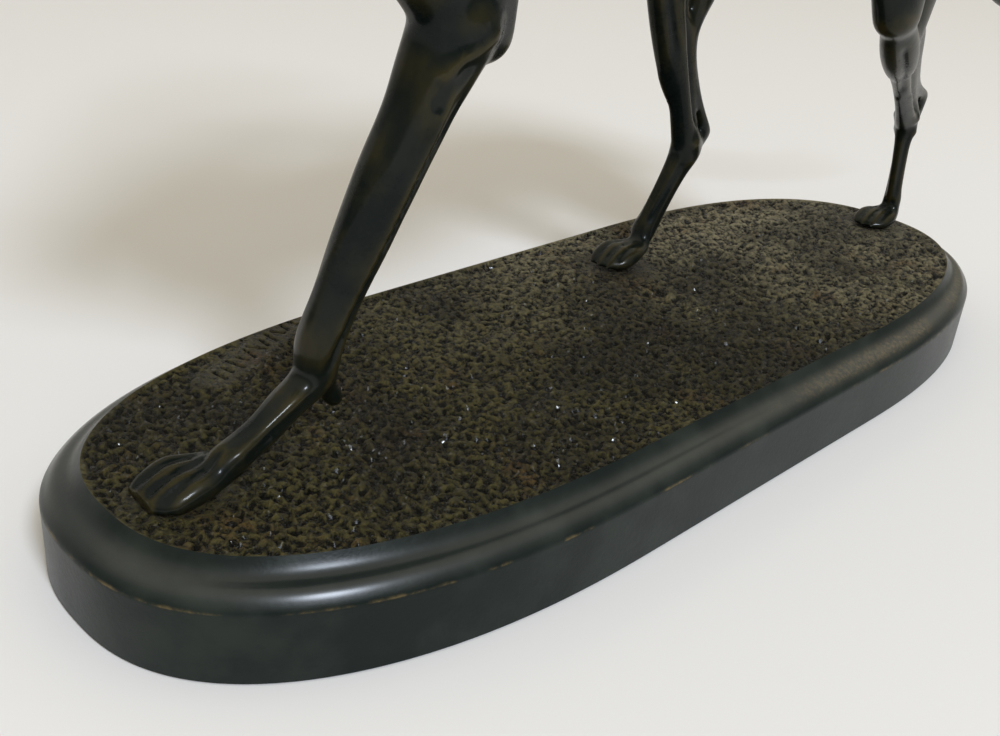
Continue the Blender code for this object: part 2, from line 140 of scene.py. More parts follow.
class Graph:
    """A node tree with one method that adds any node."""

    def __init__(self, tree):
        self.tree = tree

    def feed(self, socket, value):
        if isinstance(value, Wire):
            self.tree.links.new(value.socket, socket)
        elif value is not None:
            socket.default_value = value

    def add(self, kind, settings=None, values=(), output=0):
        node = self.tree.nodes.new(kind)
        for key, value in (settings or {}).items():
            setattr(node, key, value)
        sockets = [socket for socket in node.inputs if socket.enabled]
        names = {socket.name: socket for socket in reversed(sockets)}
        pairs = values.items() if isinstance(values, dict) else enumerate(values)
        for key, value in pairs:
            self.feed(names[key] if isinstance(key, str) else sockets[key], value)
        outputs = [socket for socket in node.outputs if socket.enabled]
        if isinstance(output, str):
            return Wire(self, node.outputs[output])
        return Wire(self, outputs[output])

    def noise(self, place, size, detail=2.0, seed=0.0, roughness=0.55):
        values = {"Vector": place, "W": seed, "Scale": 1 / size, "Detail": detail,
                  "Roughness": roughness}
        return self.add("ShaderNodeTexNoise", {"noise_dimensions": "4D"}, values)

    def axis(self, place, name):
        """One coordinate of a place: X, Y or Z."""
        return self.add("ShaderNodeSeparateXYZ", None, (place,), name)

    def join(self, x, y, z):
        return self.add("ShaderNodeCombineXYZ", None, (x, y, z))

    def vector(self, operation, *values):
        return self.add("ShaderNodeVectorMath", {"operation": operation}, values)

    def scaled(self, vector, share):
        return self.add("ShaderNodeVectorMath", {"operation": "SCALE"},
                        {"Vector": vector, "Scale": share})

    def tint(self, share, first, second):
        """Colour that goes from the first to the second as share goes from 0 to 1."""
        settings = {"data_type": "RGBA"}
        return self.add("ShaderNodeMix", settings, (share, colour(first), colour(second)))


def colour(value):
    return value if isinstance(value, Wire) else (*value, 1.0)


print("wires and graphs are ready")

# %% [markdown]
# ## The room
# The floor is a plain pale sheet that rises behind the statue. One large soft light from the
# camera's left makes the long shadow, and a dim pale surround fills it. Dark bronze shows
# what it reflects, so the size of the light matters more than its power.

# %% Floor
FLOOR_REACH = 3.0
BACK_RADIUS = 0.8
FLOOR_COLOUR = (0.80, 0.785, 0.765, 1.0)
BACK_STEPS = 12


def add_object(name, mesh):
    obj = bpy.data.objects.new(name, mesh)
    bpy.context.scene.collection.objects.link(obj)
    return obj


def build_floor():
    rows = [(-FLOOR_REACH, 0.0), (FLOOR_REACH - BACK_RADIUS, 0.0)]
    for step in range(1, BACK_STEPS + 1):
        angle = math.pi / 2 * step / BACK_STEPS
        rows.append((FLOOR_REACH - BACK_RADIUS + BACK_RADIUS * math.sin(angle),
                     BACK_RADIUS * (1 - math.cos(angle))))
    rows.append((FLOOR_REACH, FLOOR_REACH))
    mesh = bpy.data.meshes.new("floor")
    points = [(x, y, z) for y, z in rows for x in (-FLOOR_REACH, FLOOR_REACH)]
    faces = [(2 * k, 2 * k + 1, 2 * k + 3, 2 * k + 2) for k in range(len(rows) - 1)]
    mesh.from_pydata(points, [], faces)
    mesh.shade_smooth()
    material = bpy.data.materials.new("pale_floor")
    material.use_nodes = True
    shader = material.node_tree.nodes["Principled BSDF"]
    shader.inputs["Base Color"].default_value = FLOOR_COLOUR
    shader.inputs["Roughness"].default_value = 0.9
    shader.inputs["Specular IOR Level"].default_value = 0.15
    mesh.materials.append(material)
    floor = add_object("floor", mesh)


build_floor()
print("floor reaches", FLOOR_REACH, "m and rises behind the statue")

# %% [markdown]
# ## Light
# A disk-shaped area light throws a soft shadow, and its reflection is the long highlight on
# the moulding. The surround is a gradient by height: dark walls leave the upright band dark,
# and a paler ceiling lifts the tops of the forms. A picture of a room would do the same, but
# two colours are enough for a plain studio.

# %% Light and surround
KEY_DIRECTION = (-0.21, -0.665, 0.716)
KEY_DISTANCE = 2.6
KEY_SIZE = 0.58
KEY_POWER = 46.0
KEY_COLOUR = (0.78, 0.86, 1.0)
WALL_TOP = -0.05
CEILING_START = 0.75
WALL_COLOUR = (0.10, 0.10, 0.085)
CEILING_COLOUR = (0.78, 0.73, 0.62)


def add_key_light():
    lamp = bpy.data.lights.new("key", "AREA")
    lamp.shape = "DISK"
    lamp.size = KEY_SIZE
    lamp.energy = KEY_POWER
    lamp.color = KEY_COLOUR
    key = add_object("key", lamp)
    outward = Vector(KEY_DIRECTION).normalized()
    key.location = outward * KEY_DISTANCE
    key.rotation_mode = "QUATERNION"
    key.rotation_quaternion = outward.to_track_quat("Z", "Y")


def build_surround():
    """Pale ceiling above, much darker walls round it."""
    world = bpy.data.worlds.new("surround")
    world.use_nodes = True
    graph = Graph(world.node_tree)
    direction = graph.add("ShaderNodeTexCoord", None, (), "Generated")
    share = graph.axis(direction, "Z").ease(WALL_TOP, CEILING_START)
    sky = graph.tint(share, WALL_COLOUR, CEILING_COLOUR)
    graph.feed(world.node_tree.nodes["Background"].inputs["Color"], sky)
    bpy.context.scene.world = world


build_surround()
add_key_light()
bpy.context.scene.view_settings.view_transform = "Standard"
print("one soft light at", KEY_DISTANCE, "m, and a surround")

# %% [markdown]
# ## The shape of the plinth
# The plinth's plan is a straight middle with two full rounded ends, a little squarer than
# ellipses. Its edge is an upright band below a wave-shaped moulding. The same plan is drawn in
# step by step for each height, so one profile swept round one outline makes all of it.

# %% Plinth sizes
LENGTH = base_high.x - base_low.x
WIDTH = base_high.y - base_low.y
GROUND = base_high.z
STRAIGHT = 0.0942
END_FULLNESS = 2.44
MOULDING_RISE = 0.0070
MOULDING_WIDTH = 0.0082
OGEE_STRENGTH = 0.72
FOOT_CHAMFER = 0.0005
ARRIS_ROUND = 0.0004
BAND = GROUND - MOULDING_RISE
BAND_SHARES = (0.2, 0.4, 0.6, 0.8)
PROFILE_STEPS = 22
OUTLINE_POINTS = 680


def moulding_profile():
    """(inset, height) from the underside, up the band and over the moulding to the ground."""
    points = [(FOOT_CHAMFER, 0.0), (0.0, FOOT_CHAMFER)]
    points += [(0.0, BAND * share) for share in BAND_SHARES]
    points += [(0.0, BAND - ARRIS_ROUND * 2.2), (0.0, BAND - ARRIS_ROUND)]
    points.append((ARRIS_ROUND * 0.12, BAND - ARRIS_ROUND * 0.3))
    for step in range(1, PROFILE_STEPS + 1):
        share = step / PROFILE_STEPS
        rise = share + OGEE_STRENGTH * math.sin(2 * math.pi * share) / (2 * math.pi)
        points.append((MOULDING_WIDTH * share, BAND + MOULDING_RISE * rise))
    return points


print("profile points:", len(moulding_profile()))

# %% [markdown]
# ## Sweeping the profile with Geometry Nodes
# Curve to Mesh could sweep the profile, but it would shrink the outline evenly and not keep
# the family of ovals. So the sweep is used only to make the grid of points, which carry the
# outline's place, the direction towards its middle, and the profile's inset and height, and
# Set Position then puts each of them where those four say.

# %% Geometry tree helpers
def tree_with_inputs(name, inputs):
    """New geometry node tree with named inputs: its graph, and each input as a wire."""
    tree = bpy.data.node_groups.new(name, "GeometryNodeTree")
    tree.interface.new_socket("Geometry", in_out="OUTPUT", socket_type="NodeSocketGeometry")
    for label, kind in inputs.items():
        tree.interface.new_socket(label, in_out="INPUT", socket_type="NodeSocket" + kind)
    entry = tree.nodes.new("NodeGroupInput")
    graph = Graph(tree)
    wires = {label: Wire(graph, entry.outputs[label]) for label in inputs}
    return graph, wires


def finish_tree(graph, geometry, material):
    """End a geometry tree in Realize Instances and Set Material."""
    whole = graph.add("GeometryNodeRealizeInstances", None, {"Geometry": geometry})
    painted = graph.add("GeometryNodeSetMaterial", None,
                        {"Geometry": whole, "Material": material})
    leave = graph.tree.nodes.new("NodeGroupOutput")
    graph.tree.links.new(painted.socket, leave.inputs[0])


def evaluated(obj):
    """The object's mesh with its modifiers applied."""
    depsgraph = bpy.context.evaluated_depsgraph_get()
    return bpy.data.meshes.new_from_object(obj.evaluated_get(depsgraph), depsgraph=depsgraph)


def run_tree(name, graph, values, start=None):
    """Run a geometry tree with these input values and return the result as a plain mesh."""
    obj = add_object(name + "_work", start or bpy.data.meshes.new(name + "_work"))
    modifier = obj.modifiers.new("Nodes", "NODES")
    modifier.node_group = graph.tree
    for item in graph.tree.interface.items_tree:
        if item.in_out == "INPUT" and item.name in values:
            modifier[item.identifier] = values[item.name]
    mesh = evaluated(obj)
    bpy.data.objects.remove(obj, do_unlink=True)
    mesh.name = name
    return mesh


print("geometry trees can be built and run")

# %% [markdown]
# ## The sweep itself
# The plan's two ends are superellipses: the cosine and sine of a circle, raised to a power
# that squares them a little. The circle has many more points than the outline needs, and a
# Resample Curve node then spaces them evenly, so that no face of the band is stretched.

# %% Plinth sweep
CIRCLE_POINTS = 2880


def signed_power(wire, power):
    """|wire| to a power, with the sign of wire kept."""
    return wire.math("ABSOLUTE") ** power * wire.math("SIGN")


def captured(graph, geometry, vector):
    """Keep a vector on a geometry's points: the new geometry, and the kept vector."""
    node = graph.tree.nodes.new("GeometryNodeCaptureAttribute")
    node.capture_items.new("VECTOR", "Kept")
    graph.feed(node.inputs[0], geometry)
    graph.feed(node.inputs[1], vector)
    return Wire(graph, node.outputs[0]), Wire(graph, node.outputs[1])


def sweep_tree():
    graph, given = tree_with_inputs("moulded_oval", {
        "Profile": "Object", "Length": "Float", "Width": "Float", "Straight": "Float",
        "Fullness": "Float", "Points": "Int", "Material": "Material"})
    spot = graph.add("GeometryNodeInputPosition")
    cosine, sine = graph.axis(spot, "X"), graph.axis(spot, "Y")
    power = 2.0 / given["Fullness"]
    along, side = signed_power(cosine, power), signed_power(sine, power)
    half_straight = given["Straight"] / 2
    end_length = given["Length"] / 2 - half_straight
    x = cosine.math("SIGN") * half_straight + along * end_length
    y = side * (given["Width"] / 2)
    circle = graph.add("GeometryNodeCurvePrimitiveCircle", None,
                       {"Resolution": CIRCLE_POINTS, "Radius": 1.0})
    circle, inward = captured(graph, circle, graph.join(along, side, 0.0))
    oval = graph.add("GeometryNodeSetPosition", None,
                     {"Geometry": circle, "Position": graph.join(x, y, 0.0)})
    even = graph.add("GeometryNodeResampleCurve", None, {"Curve": oval, "Count": given["Points"]})
    even, outline = captured(graph, even, spot)
    profile = graph.add("GeometryNodeObjectInfo", None, {"Object": given["Profile"]}, "Geometry")
    profile, drawn = captured(graph, profile, spot)
    swept = graph.add("GeometryNodeCurveToMesh", None, {"Curve": even, "Profile Curve": profile})
    inset, height = graph.axis(drawn, "X"), graph.axis(drawn, "Y")
    final = graph.vector("ADD", outline, graph.scaled(inward, inset * -1.0))
    final = graph.vector("ADD", final, graph.join(0.0, 0.0, height))
    shell = graph.add("GeometryNodeSetPosition", None, {"Geometry": swept, "Position": final})
    finish_tree(graph, shell, given["Material"])
    return graph


def profile_curve():
    curve = bpy.data.curves.new("moulding_profile", "CURVE")
    curve.dimensions = "3D"
    line = curve.splines.new("POLY")
    points = moulding_profile()
    line.points.add(len(points) - 1)
    for point, (inset, height) in zip(line.points, points):
        point.co = (inset, height, 0.0, 1.0)
    return add_object("moulding_profile", curve)


def sweep_plinth(material):
    profile = profile_curve()
    mesh = run_tree("plinth", sweep_tree(), {
        "Profile": profile, "Length": LENGTH, "Width": WIDTH, "Straight": STRAIGHT,
        "Fullness": END_FULLNESS, "Points": OUTLINE_POINTS, "Material": material})
    bpy.data.objects.remove(profile, do_unlink=True)
    return mesh


print("outline points:", OUTLINE_POINTS)

# %% [markdown]
# ## Where the paws stand
# The ground is level under each planted paw and rough between them, so the figure's pose has
# to be known before the ground is made. Every place on the dog is a share of its height at
# the withers: x, y and height above the ground, with the dog facing -X.

# %% The pose
WITHERS_OF_FULL_HEIGHT = 0.7176
WITHERS = (dog_high.z - dog_low.z) * WITHERS_OF_FULL_HEIGHT
SOLE = dog_low.z

STANDING_FORE = {
    "shoulder": (-0.575, -0.095, 0.700),
    "elbow": (-0.411, -0.074, 0.440),
    "elbow_point": (0.050, 0.003, -0.012),
    "carpus": (-0.541, -0.028, 0.086),
    "wrist_pad": (0.038, 0.007, -0.040),
    "pastern": (-0.607, -0.036, 0.046),
    "fetlock": (-0.652, -0.040, 0.031),
    "paw": (-0.694, -0.028, 0.000),
    "heading": (-1.0, -0.06, 0.0),
    "paw_size": 1.0,
    "paw_lift": 0.72,
}
RAISED_FORE = {
    "shoulder": (-0.570, 0.095, 0.720),
    "elbow": (-0.370, 0.096, 0.520),
    "elbow_point": (0.058, 0.000, 0.030),
    "carpus": (-0.680, 0.082, 0.697),
    "wrist_pad": (0.048, 0.000, -0.030),
    "pastern": (-0.659, 0.082, 0.640),
    "fetlock": (-0.644, 0.081, 0.592),
    "paw": (-0.632, 0.081, 0.550),
    "heading": (0.42, 0.0, -0.90),
    "back_of_paw": (-0.90, 0.0, -0.42),
    "paw_size": 0.95,
    "paw_lift": 1.0,
}
NEAR_HIND = {
    "hip": (0.355, -0.075, 0.825),
    "stifle": (0.365, -0.127, 0.414),
    "hock": (0.724, -0.012, 0.190),
    "heel": (0.771, -0.008, 0.224),
    "fetlock": (0.741, -0.014, 0.034),
    "paw": (0.705, -0.010, 0.000),
    "heading": (-1.0, -0.10, 0.0),
    "paw_size": 0.88,
    "paw_lift": 0.60,
    "calf": (0.458, -0.083, 0.404),
    "calf_end": (0.528, -0.074, 0.366),
    "cannon_size": 0.95,
    "belly_end": 0.47,
}
FAR_HIND = {
    "hip": (0.355, 0.075, 0.850),
    "stifle": (0.130, 0.122, 0.545),
    "hock": (0.284, 0.128, 0.165),
    "heel": (0.335, 0.133, 0.182),
    "fetlock": (0.213, 0.136, 0.036),
    "paw": (0.146, 0.124, 0.000),
    "heading": (-1.0, -0.10, 0.0),
    "paw_size": 0.90,
    "paw_lift": 0.90,
    "calf": (0.260, 0.127, 0.512),
    "calf_end": (0.274, 0.128, 0.434),
    "cannon_size": 1.14,
    "belly_end": 0.80,
}


FORE_LEGS = ((STANDING_FORE, -1), (RAISED_FORE, 1))
HIND_LEGS = ((NEAR_HIND, -1), (FAR_HIND, 1))


def place(share):
    """A share of the withers height as a place on the statue, in metres."""
    return Vector(share) * WITHERS + Vector((0.0, 0.0, SOLE))


planted = [place(leg["paw"]) for leg in (STANDING_FORE, NEAR_HIND, FAR_HIND)]
print("withers", round(WITHERS, 4), "paws at", [tuple(round(c, 3) for c in p) for p in planted])

# %% [markdown]
# ## The sheet of ground
# The rough top needs points about half a millimetre apart, and its rim has to share the
# moulding's own points so that the plinth is one closed skin. A grid cannot follow an oval
# rim. A Delaunay triangulation can: it takes the rim as a border and fills it with whatever
# points it is given, and they are set closer where a row of strokes is cut.

# %% Ground points
GRAIN = 0.00064
GRAIN_JITTER = 0.22
STROKE_JITTER = 0.15
STROKE_GRAIN = 0.00028
STROKE_START = Vector((-0.1075, 0.0325))
STROKE_END = Vector((-0.0745, 0.0485))
STROKE_BED = 0.0052


def vectors_of(mesh, kind="co"):
    """The place of every point as a row of an array, or its normal."""
    flat = np.empty(len(mesh.vertices) * 3)
    mesh.vertices.foreach_get(kind, flat)
    return flat.reshape(-1, 3)


def put_back(mesh, points):
    mesh.vertices.foreach_set("co", points.ravel())


def save_field(mesh, name, values):
    field = mesh.attributes.new(name, "FLOAT", "POINT")
    field.data.foreach_set("value", np.asarray(values, np.float32))


def outline_reach(x, y, inset):
    """Below 1 inside the plan drawn in by the inset, above 1 outside it."""
    end_length = (LENGTH - STRAIGHT) / 2 - inset
    across = (np.abs(y) / (WIDTH / 2 - inset)) ** END_FULLNESS
    along = (np.maximum(np.abs(x) - STRAIGHT / 2, 0.0) / end_length) ** END_FULLNESS
    return across + along


def hex_points(low, high, step, jitter):
    """Staggered rows of points in a rectangle, each moved a little at random."""
    rows = np.arange(low[1], high[1], step * 0.866)
    columns = np.arange(low[0], high[0], step)
    x, y = np.meshgrid(columns, rows)
    x = x + (np.arange(len(rows)) % 2)[:, None] * step / 2
    points = np.stack([x.ravel(), y.ravel()], 1)
    return points + np.random.default_rng(7).uniform(-jitter, jitter, points.shape) * step


def away_from_line(points, start, end):
    """Distance of each point from a line between two places."""
    run = np.array(end) - np.array(start)
    share = np.clip(((points - start) @ run) / (run @ run), 0, 1)
    return np.linalg.norm(points - (np.array(start) + share[:, None] * run), axis=1)


def ground_points():
    """Even points over the oval, and closer ones where the strokes are cut."""
    reach = np.array((LENGTH, WIDTH)) / 2 - MOULDING_WIDTH
    low = np.minimum(STROKE_START, STROKE_END) - STROKE_BED
    high = np.maximum(STROKE_START, STROKE_END) + STROKE_BED
    kept = []
    for points, in_bed in ((hex_points(-reach, reach, GRAIN, GRAIN_JITTER), False),
                           (hex_points(low, high, STROKE_GRAIN, STROKE_JITTER), True)):
        bed = away_from_line(points, STROKE_START, STROKE_END) < STROKE_BED
        inside = outline_reach(*points.T, MOULDING_WIDTH + GRAIN * 0.7) < 1
        kept.append(points[inside & (bed == in_bed)])
    return np.concatenate(kept)


def rim_of(mesh):
    """The shell's topmost ring of points, in order round the plan."""
    border = [v.co for v in mesh.vertices if abs(v.co.z - GROUND) < 1e-6]
    return np.array(sorted(([c.x, c.y] for c in border), key=lambda p: math.atan2(p[1], p[0])))


def ground_sheet(rim):
    inner = ground_points()
    points = [Vector(p) for p in np.concatenate([rim, inner])]
    filled = delaunay_2d_cdt(points, [], [list(range(len(rim)))], 1, 1e-7)
    mesh = bpy.data.meshes.new("ground_sheet")
    mesh.from_pydata([(p.x, p.y, GROUND) for p in filled[0]], [], filled[2])
    return mesh


print("ground points every", GRAIN, "m")

# %% [markdown]
# ## Roughening the ground
# The sculptor pressed and scratched the ground in wax: small pits and larger lumps over slow
# swells, with finer grit towards the front edge. Geometry Nodes stacks those layers as noise
# fields and lifts the sheet by their sum. A field named calm says how much of it each place
# takes: none at the rim, and very little under the paws and beside the strokes.

# %% Ground relief
PIT_SIZE = 0.0030
PIT_DEPTH = 0.00070
LUMP_SIZE = 0.0052
LUMP_HEIGHT = 0.00150
SWELL_SIZE = 0.024
SWELL_HEIGHT = 0.0009
GRIT_SIZE = 0.0015
GRIT_HEIGHT = 0.00085
RELIEF_TOP = 0.0004
PAW_BED = 0.0105
RIM_CALM = 0.030
LEFT_UNDER_PAWS = 0.12
LEFT_BY_STROKES = 0.06
# The ground grows coarser and dustier along this direction, towards the back right
COARSER = (0.73, 0.68)


def calm_field(points):
    """How much relief each place takes, from 0 to 1."""
    calm = np.ones(len(points))
    rim = 1 - outline_reach(points[:, 0], points[:, 1], MOULDING_WIDTH)
    calm *= np.clip(rim / RIM_CALM, 0, 1)
    for paw in planted:
        away = np.hypot(points[:, 0] - paw.x, points[:, 1] - paw.y)
        calm *= np.clip((away - PAW_BED * 0.75) / (PAW_BED * 0.55), LEFT_UNDER_PAWS, 1)
    bed = away_from_line(points[:, :2], STROKE_START, STROKE_END)
    calm *= np.clip((bed - STROKE_BED * 0.75) / (STROKE_BED * 0.5), LEFT_BY_STROKES, 1)
    return calm


def towards_back(graph, spot):
    return graph.axis(spot, "X") * COARSER[0] + graph.axis(spot, "Y") * COARSER[1]


def relief_tree():
    graph, given = tree_with_inputs("rough_ground", {
        "Sheet": "Geometry", "Pit size": "Float", "Pit depth": "Float", "Swell height": "Float",
        "Lump size": "Float", "Lump height": "Float", "Grit size": "Float",
        "Grit height": "Float", "Seed": "Float", "Material": "Material"})
    spot = graph.add("GeometryNodeInputPosition")
    warp = graph.add("ShaderNodeTexNoise", {"noise_dimensions": "4D"},
                     {"Vector": spot, "W": given["Seed"], "Scale": 1 / (given["Pit size"] * 1.6),
                      "Detail": 2.0}, "Color")
    push = graph.vector("SUBTRACT", warp, (0.5, 0.5, 0.5))
    bent = graph.vector("ADD", spot, graph.scaled(push, given["Pit size"] * 1.5))
    settings = {"feature": "DISTANCE_TO_EDGE", "voronoi_dimensions": "2D"}
    edges = graph.add("ShaderNodeTexVoronoi", settings,
                      {"Vector": bent, "Scale": 1 / given["Pit size"], "Randomness": 1.0})
    pits = edges.ease(0.0, 0.34) * -1.0
    broken = graph.noise(spot, PIT_SIZE * 1.4, 2.0, 12.0).ease(0.36, 0.60)
    swell = graph.noise(spot, SWELL_SIZE, 3.0, 3.0) - 0.5
    lumps = graph.noise(bent, given["Lump size"], 3.0, 9.0, 0.6).ease(0.34, 0.66) - 0.75
    grit = graph.noise(spot, given["Grit size"], 3.0, 5.0, 0.7).ease(0.32, 0.68) - 0.75
    patch = graph.noise(spot, SWELL_SIZE * 1.3, 1.0, 8.0) - 0.5
    coarse = (towards_back(graph, spot) + patch * 0.35).ease(-0.07, 0.08)
    lift = pits * given["Pit depth"] * (broken * 0.7 + 0.3)
    lift = lift + lumps * given["Lump height"] * (coarse * 0.80 + 0.20)
    lift = lift + grit * given["Grit height"] * (1.4 - coarse * 0.6)
    lift = lift + swell * given["Swell height"] * 2.0
    calm = graph.add("GeometryNodeInputNamedAttribute", {"data_type": "FLOAT"}, ("calm",))
    offset = graph.join(0.0, 0.0, lift.math("MINIMUM", RELIEF_TOP) * calm)
    sheet = graph.add("GeometryNodeSetPosition", None,
                      {"Geometry": given["Sheet"], "Offset": offset})
    finish_tree(graph, sheet, given["Material"])
    return graph


def rough_ground(rim, material):
    sheet = ground_sheet(rim)
    save_field(sheet, "calm", calm_field(vectors_of(sheet)))
    return run_tree("ground", relief_tree(), {
        "Pit size": PIT_SIZE, "Pit depth": PIT_DEPTH, "Swell height": SWELL_HEIGHT,
        "Lump size": LUMP_SIZE, "Lump height": LUMP_HEIGHT, "Grit size": GRIT_SIZE,
        "Grit height": GRIT_HEIGHT, "Seed": 1.0, "Material": material}, sheet)


print("relief stands at most", RELIEF_TOP, "m above the ground's level")

# %% [markdown]
# ## One closed casting
# Shell and ground were made apart and share their rim points, so the two are joined and the
# doubled points merged. The underside is one flat face. The row of plain slanted cuts of
# uneven length is pressed into the ground, point by point, before the two are joined.

# %% Plinth casting
STROKE_COUNT = 11
STROKE_DEPTH = 0.00090
STROKE_HALF_WIDTH = 0.00040
STROKE_REACH = (0.0013, 0.0026)
STROKE_LEAN = 0.55
SHARP_EDGE = math.radians(38)
# The arris and the shining slope, as shares of the moulding's rise above the band
ARRIS_SPREAD = 0.05
SLOPE_MIDDLE = 0.45
SLOPE_SPREAD = 0.22
RAISED_PASSES = 10


def stroke_lines():
    """Two ends of each short cut, set across the row."""
    row = STROKE_END - STROKE_START
    across = Vector((-row.y, row.x)).normalized()
    picks = np.random.default_rng(21)
    lines = []
    for k in range(STROKE_COUNT):
        middle = STROKE_START.lerp(STROKE_END, (k + 0.5) / STROKE_COUNT)
        lean = across + row.normalized() * picks.uniform(-STROKE_LEAN, STROKE_LEAN)
        half = picks.uniform(*STROKE_REACH)
        lines.append((middle - lean * half, middle + lean * half))
    return lines


def cut_strokes(mesh):
    points = vectors_of(mesh)
    for start, end in stroke_lines():
        away = away_from_line(points[:, :2], start, end) / STROKE_HALF_WIDTH
        points[:, 2] -= STROKE_DEPTH * np.exp(-away ** 2)
    put_back(mesh, points)


def join_plinth(shell, ground):
    """Both as one closed mesh: shell and underside in finish 0, the ground in finish 1."""
    bm = bmesh.new()
    for finish, part in enumerate((shell, ground)):
        start = len(bm.faces)
        bm.from_mesh(part)
        bm.faces.ensure_lookup_table()
        for face in bm.faces[start:]:
            face.material_index = finish
    bmesh.ops.remove_doubles(bm, verts=bm.verts, dist=1e-5)
    foot = [edge for edge in bm.edges if edge.is_boundary]
    for face in bmesh.ops.contextual_create(bm, geom=foot)["faces"]:
        face.material_index = 0
    bmesh.ops.recalc_face_normals(bm, faces=bm.faces)
    mesh = bpy.data.meshes.new("plinth")
    bm.to_mesh(mesh)
    closed = all(edge.is_manifold for edge in bm.edges)
    bm.free()
    mesh.shade_smooth()
    mesh.set_sharp_from_angle(angle=SHARP_EDGE)
    print("plinth closed:", closed, "faces:", len(mesh.polygons))
    return mesh


print("strokes in the row:", STROKE_COUNT)

# %% [markdown]
# ## Where the finish wears
# A finish needs to know where hands and cloths reach. Each point gets three numbers, kept as
# mesh attributes that the shader can read: how far it stands above the ground round it, how
# near it is to the sharp upper edge of the band, and how near to the moulding's outer slope.

# %% Plinth fields
def blurred(mesh, values, times):
    """Each value replaced by the mean of its own and its neighbours', some times over."""
    edges = np.empty(len(mesh.edges) * 2, np.int32)
    mesh.edges.foreach_get("vertices", edges)
    first, second = edges.reshape(-1, 2).T
    count = np.bincount(edges, minlength=len(mesh.vertices)) + 1.0
    for _ in range(times):
        total = values + np.bincount(first, values[second], len(values))
        total += np.bincount(second, values[first], len(values))
        values = total / count
    return values


def mark_plinth(mesh):
    """Fields for the finish: relief of the ground, the rubbed arris and the outer slope."""
    points = vectors_of(mesh)
    height = points[:, 2]
    proud = (height - blurred(mesh, height, RAISED_PASSES)) / (LUMP_HEIGHT * 0.8)
    share = (height - BAND) / MOULDING_RISE
    outer = outline_reach(points[:, 0], points[:, 1], 0.0) > 0.8
    save_field(mesh, "raised", np.clip(0.5 + proud, 0, 1))
    save_field(mesh, "arris", np.exp(-(share / ARRIS_SPREAD) ** 2) * outer)
    save_field(mesh, "slope", np.exp(-((share - SLOPE_MIDDLE) / SLOPE_SPREAD) ** 2))


def build_plinth(edge_material, ground_material):
    shell = sweep_plinth(edge_material)
    ground = rough_ground(rim_of(shell), ground_material)
    cut_strokes(ground)
    mesh = join_plinth(shell, ground)
    for material in (edge_material, ground_material):
        mesh.materials.append(material)
    mark_plinth(mesh)
    plinth = add_object("plinth", mesh)
    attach(plinth, "root")
    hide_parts("base")


print("wear fields: raised, arris and slope")

# %% [markdown]
# ## Building a figure from its bones
# A figure could be sculpted by hand, but a script has no hands. It starts from the joints
# instead: round-ended tubes follow the bones, and egg-shaped muscles lie over them. They may
# overlap freely, because a voxel remesh turns them into one skin afterwards.

# %% Tubes and muscles
RING_SIDES = 28
PATH_STEPS = 6
MUSCLE_RINGS = 22
CAP_REACHES = (0.25, 0.50, 0.72, 0.88, 0.97)


def between(a, b, share):
    return Vector(a).lerp(Vector(b), share)


def mirrored(point, side):
    """The same place on the left (-1) or right (+1) side of the dog."""
    return Vector((point[0], point[1] * side, point[2]))


def smooth_path(stations, steps=PATH_STEPS):
    """Catmull-Rom curve through rows of numbers."""
    rows = np.array([stations[0], *stations, stations[-1]], float)
    curve = []
    for p0, p1, p2, p3 in zip(rows, rows[1:], rows[2:], rows[3:]):
        for step in range(steps):
            t = step / steps
            square = 2 * p0 - 5 * p1 + 4 * p2 - p3
            cube = 3 * p1 - p0 - 3 * p2 + p3
            curve.append(0.5 * (2 * p1 + (p2 - p0) * t + square * t ** 2 + cube * t ** 3))
    curve.append(rows[-2])
    return np.array(curve)


def domed(curve):
    """Rings of (centre, direction, width, depth), with a round cap on each end."""
    rings = []
    for k, row in enumerate(curve):
        before = curve[max(k - 1, 0)]
        after = curve[min(k + 1, len(curve) - 1)]
        rings.append((Vector(row[:3]), Vector(after[:3] - before[:3]).normalized(), *row[3:]))
    for outward in (-1, 1):
        centre, along, width, depth = rings[0] if outward < 0 else rings[-1]
        for reach in CAP_REACHES:
            narrow = math.sqrt(1 - reach ** 2)
            out = centre + along * min(width, depth) * reach * outward
            ring = (out, along, width * narrow, depth * narrow)
            rings.insert(0 if outward < 0 else len(rings), ring)
    return rings


def loft(bm, rings):
    """Closed skin over rings of (centre, half width, half depth), both halves as vectors."""
    turns = [2 * math.pi * k / RING_SIDES for k in range(RING_SIDES)]
    loops = []
    for centre, wide, deep in rings:
        rim = [centre + wide * math.cos(turn) + deep * math.sin(turn) for turn in turns]
        loops.append([bm.verts.new(place(point)) for point in rim])
    for lower, upper in zip(loops, loops[1:]):
        for k in range(RING_SIDES):
            after = (k + 1) % RING_SIDES
            bm.faces.new((lower[k], lower[after], upper[after], upper[k]))
    bm.faces.new(list(reversed(loops[0])))
    bm.faces.new(loops[-1])


def cross_axes(along, side):
    """Unit directions of a section's width and depth, its width as near side as it can be."""
    across = (Vector(side) - along * Vector(side).dot(along)).normalized()
    return across, along.cross(across)


def tube(bm, stations, side=(0, 1, 0)):
    """Round-ended body through (place, half width, half depth); side points along the width."""
    rows = [[*point, width, depth] for point, width, depth in stations]
    rings = []
    for centre, along, width, depth in domed(smooth_path(rows)):
        across, fore = cross_axes(along, side)
        rings.append((centre, across * width, fore * depth))
    loft(bm, rings)


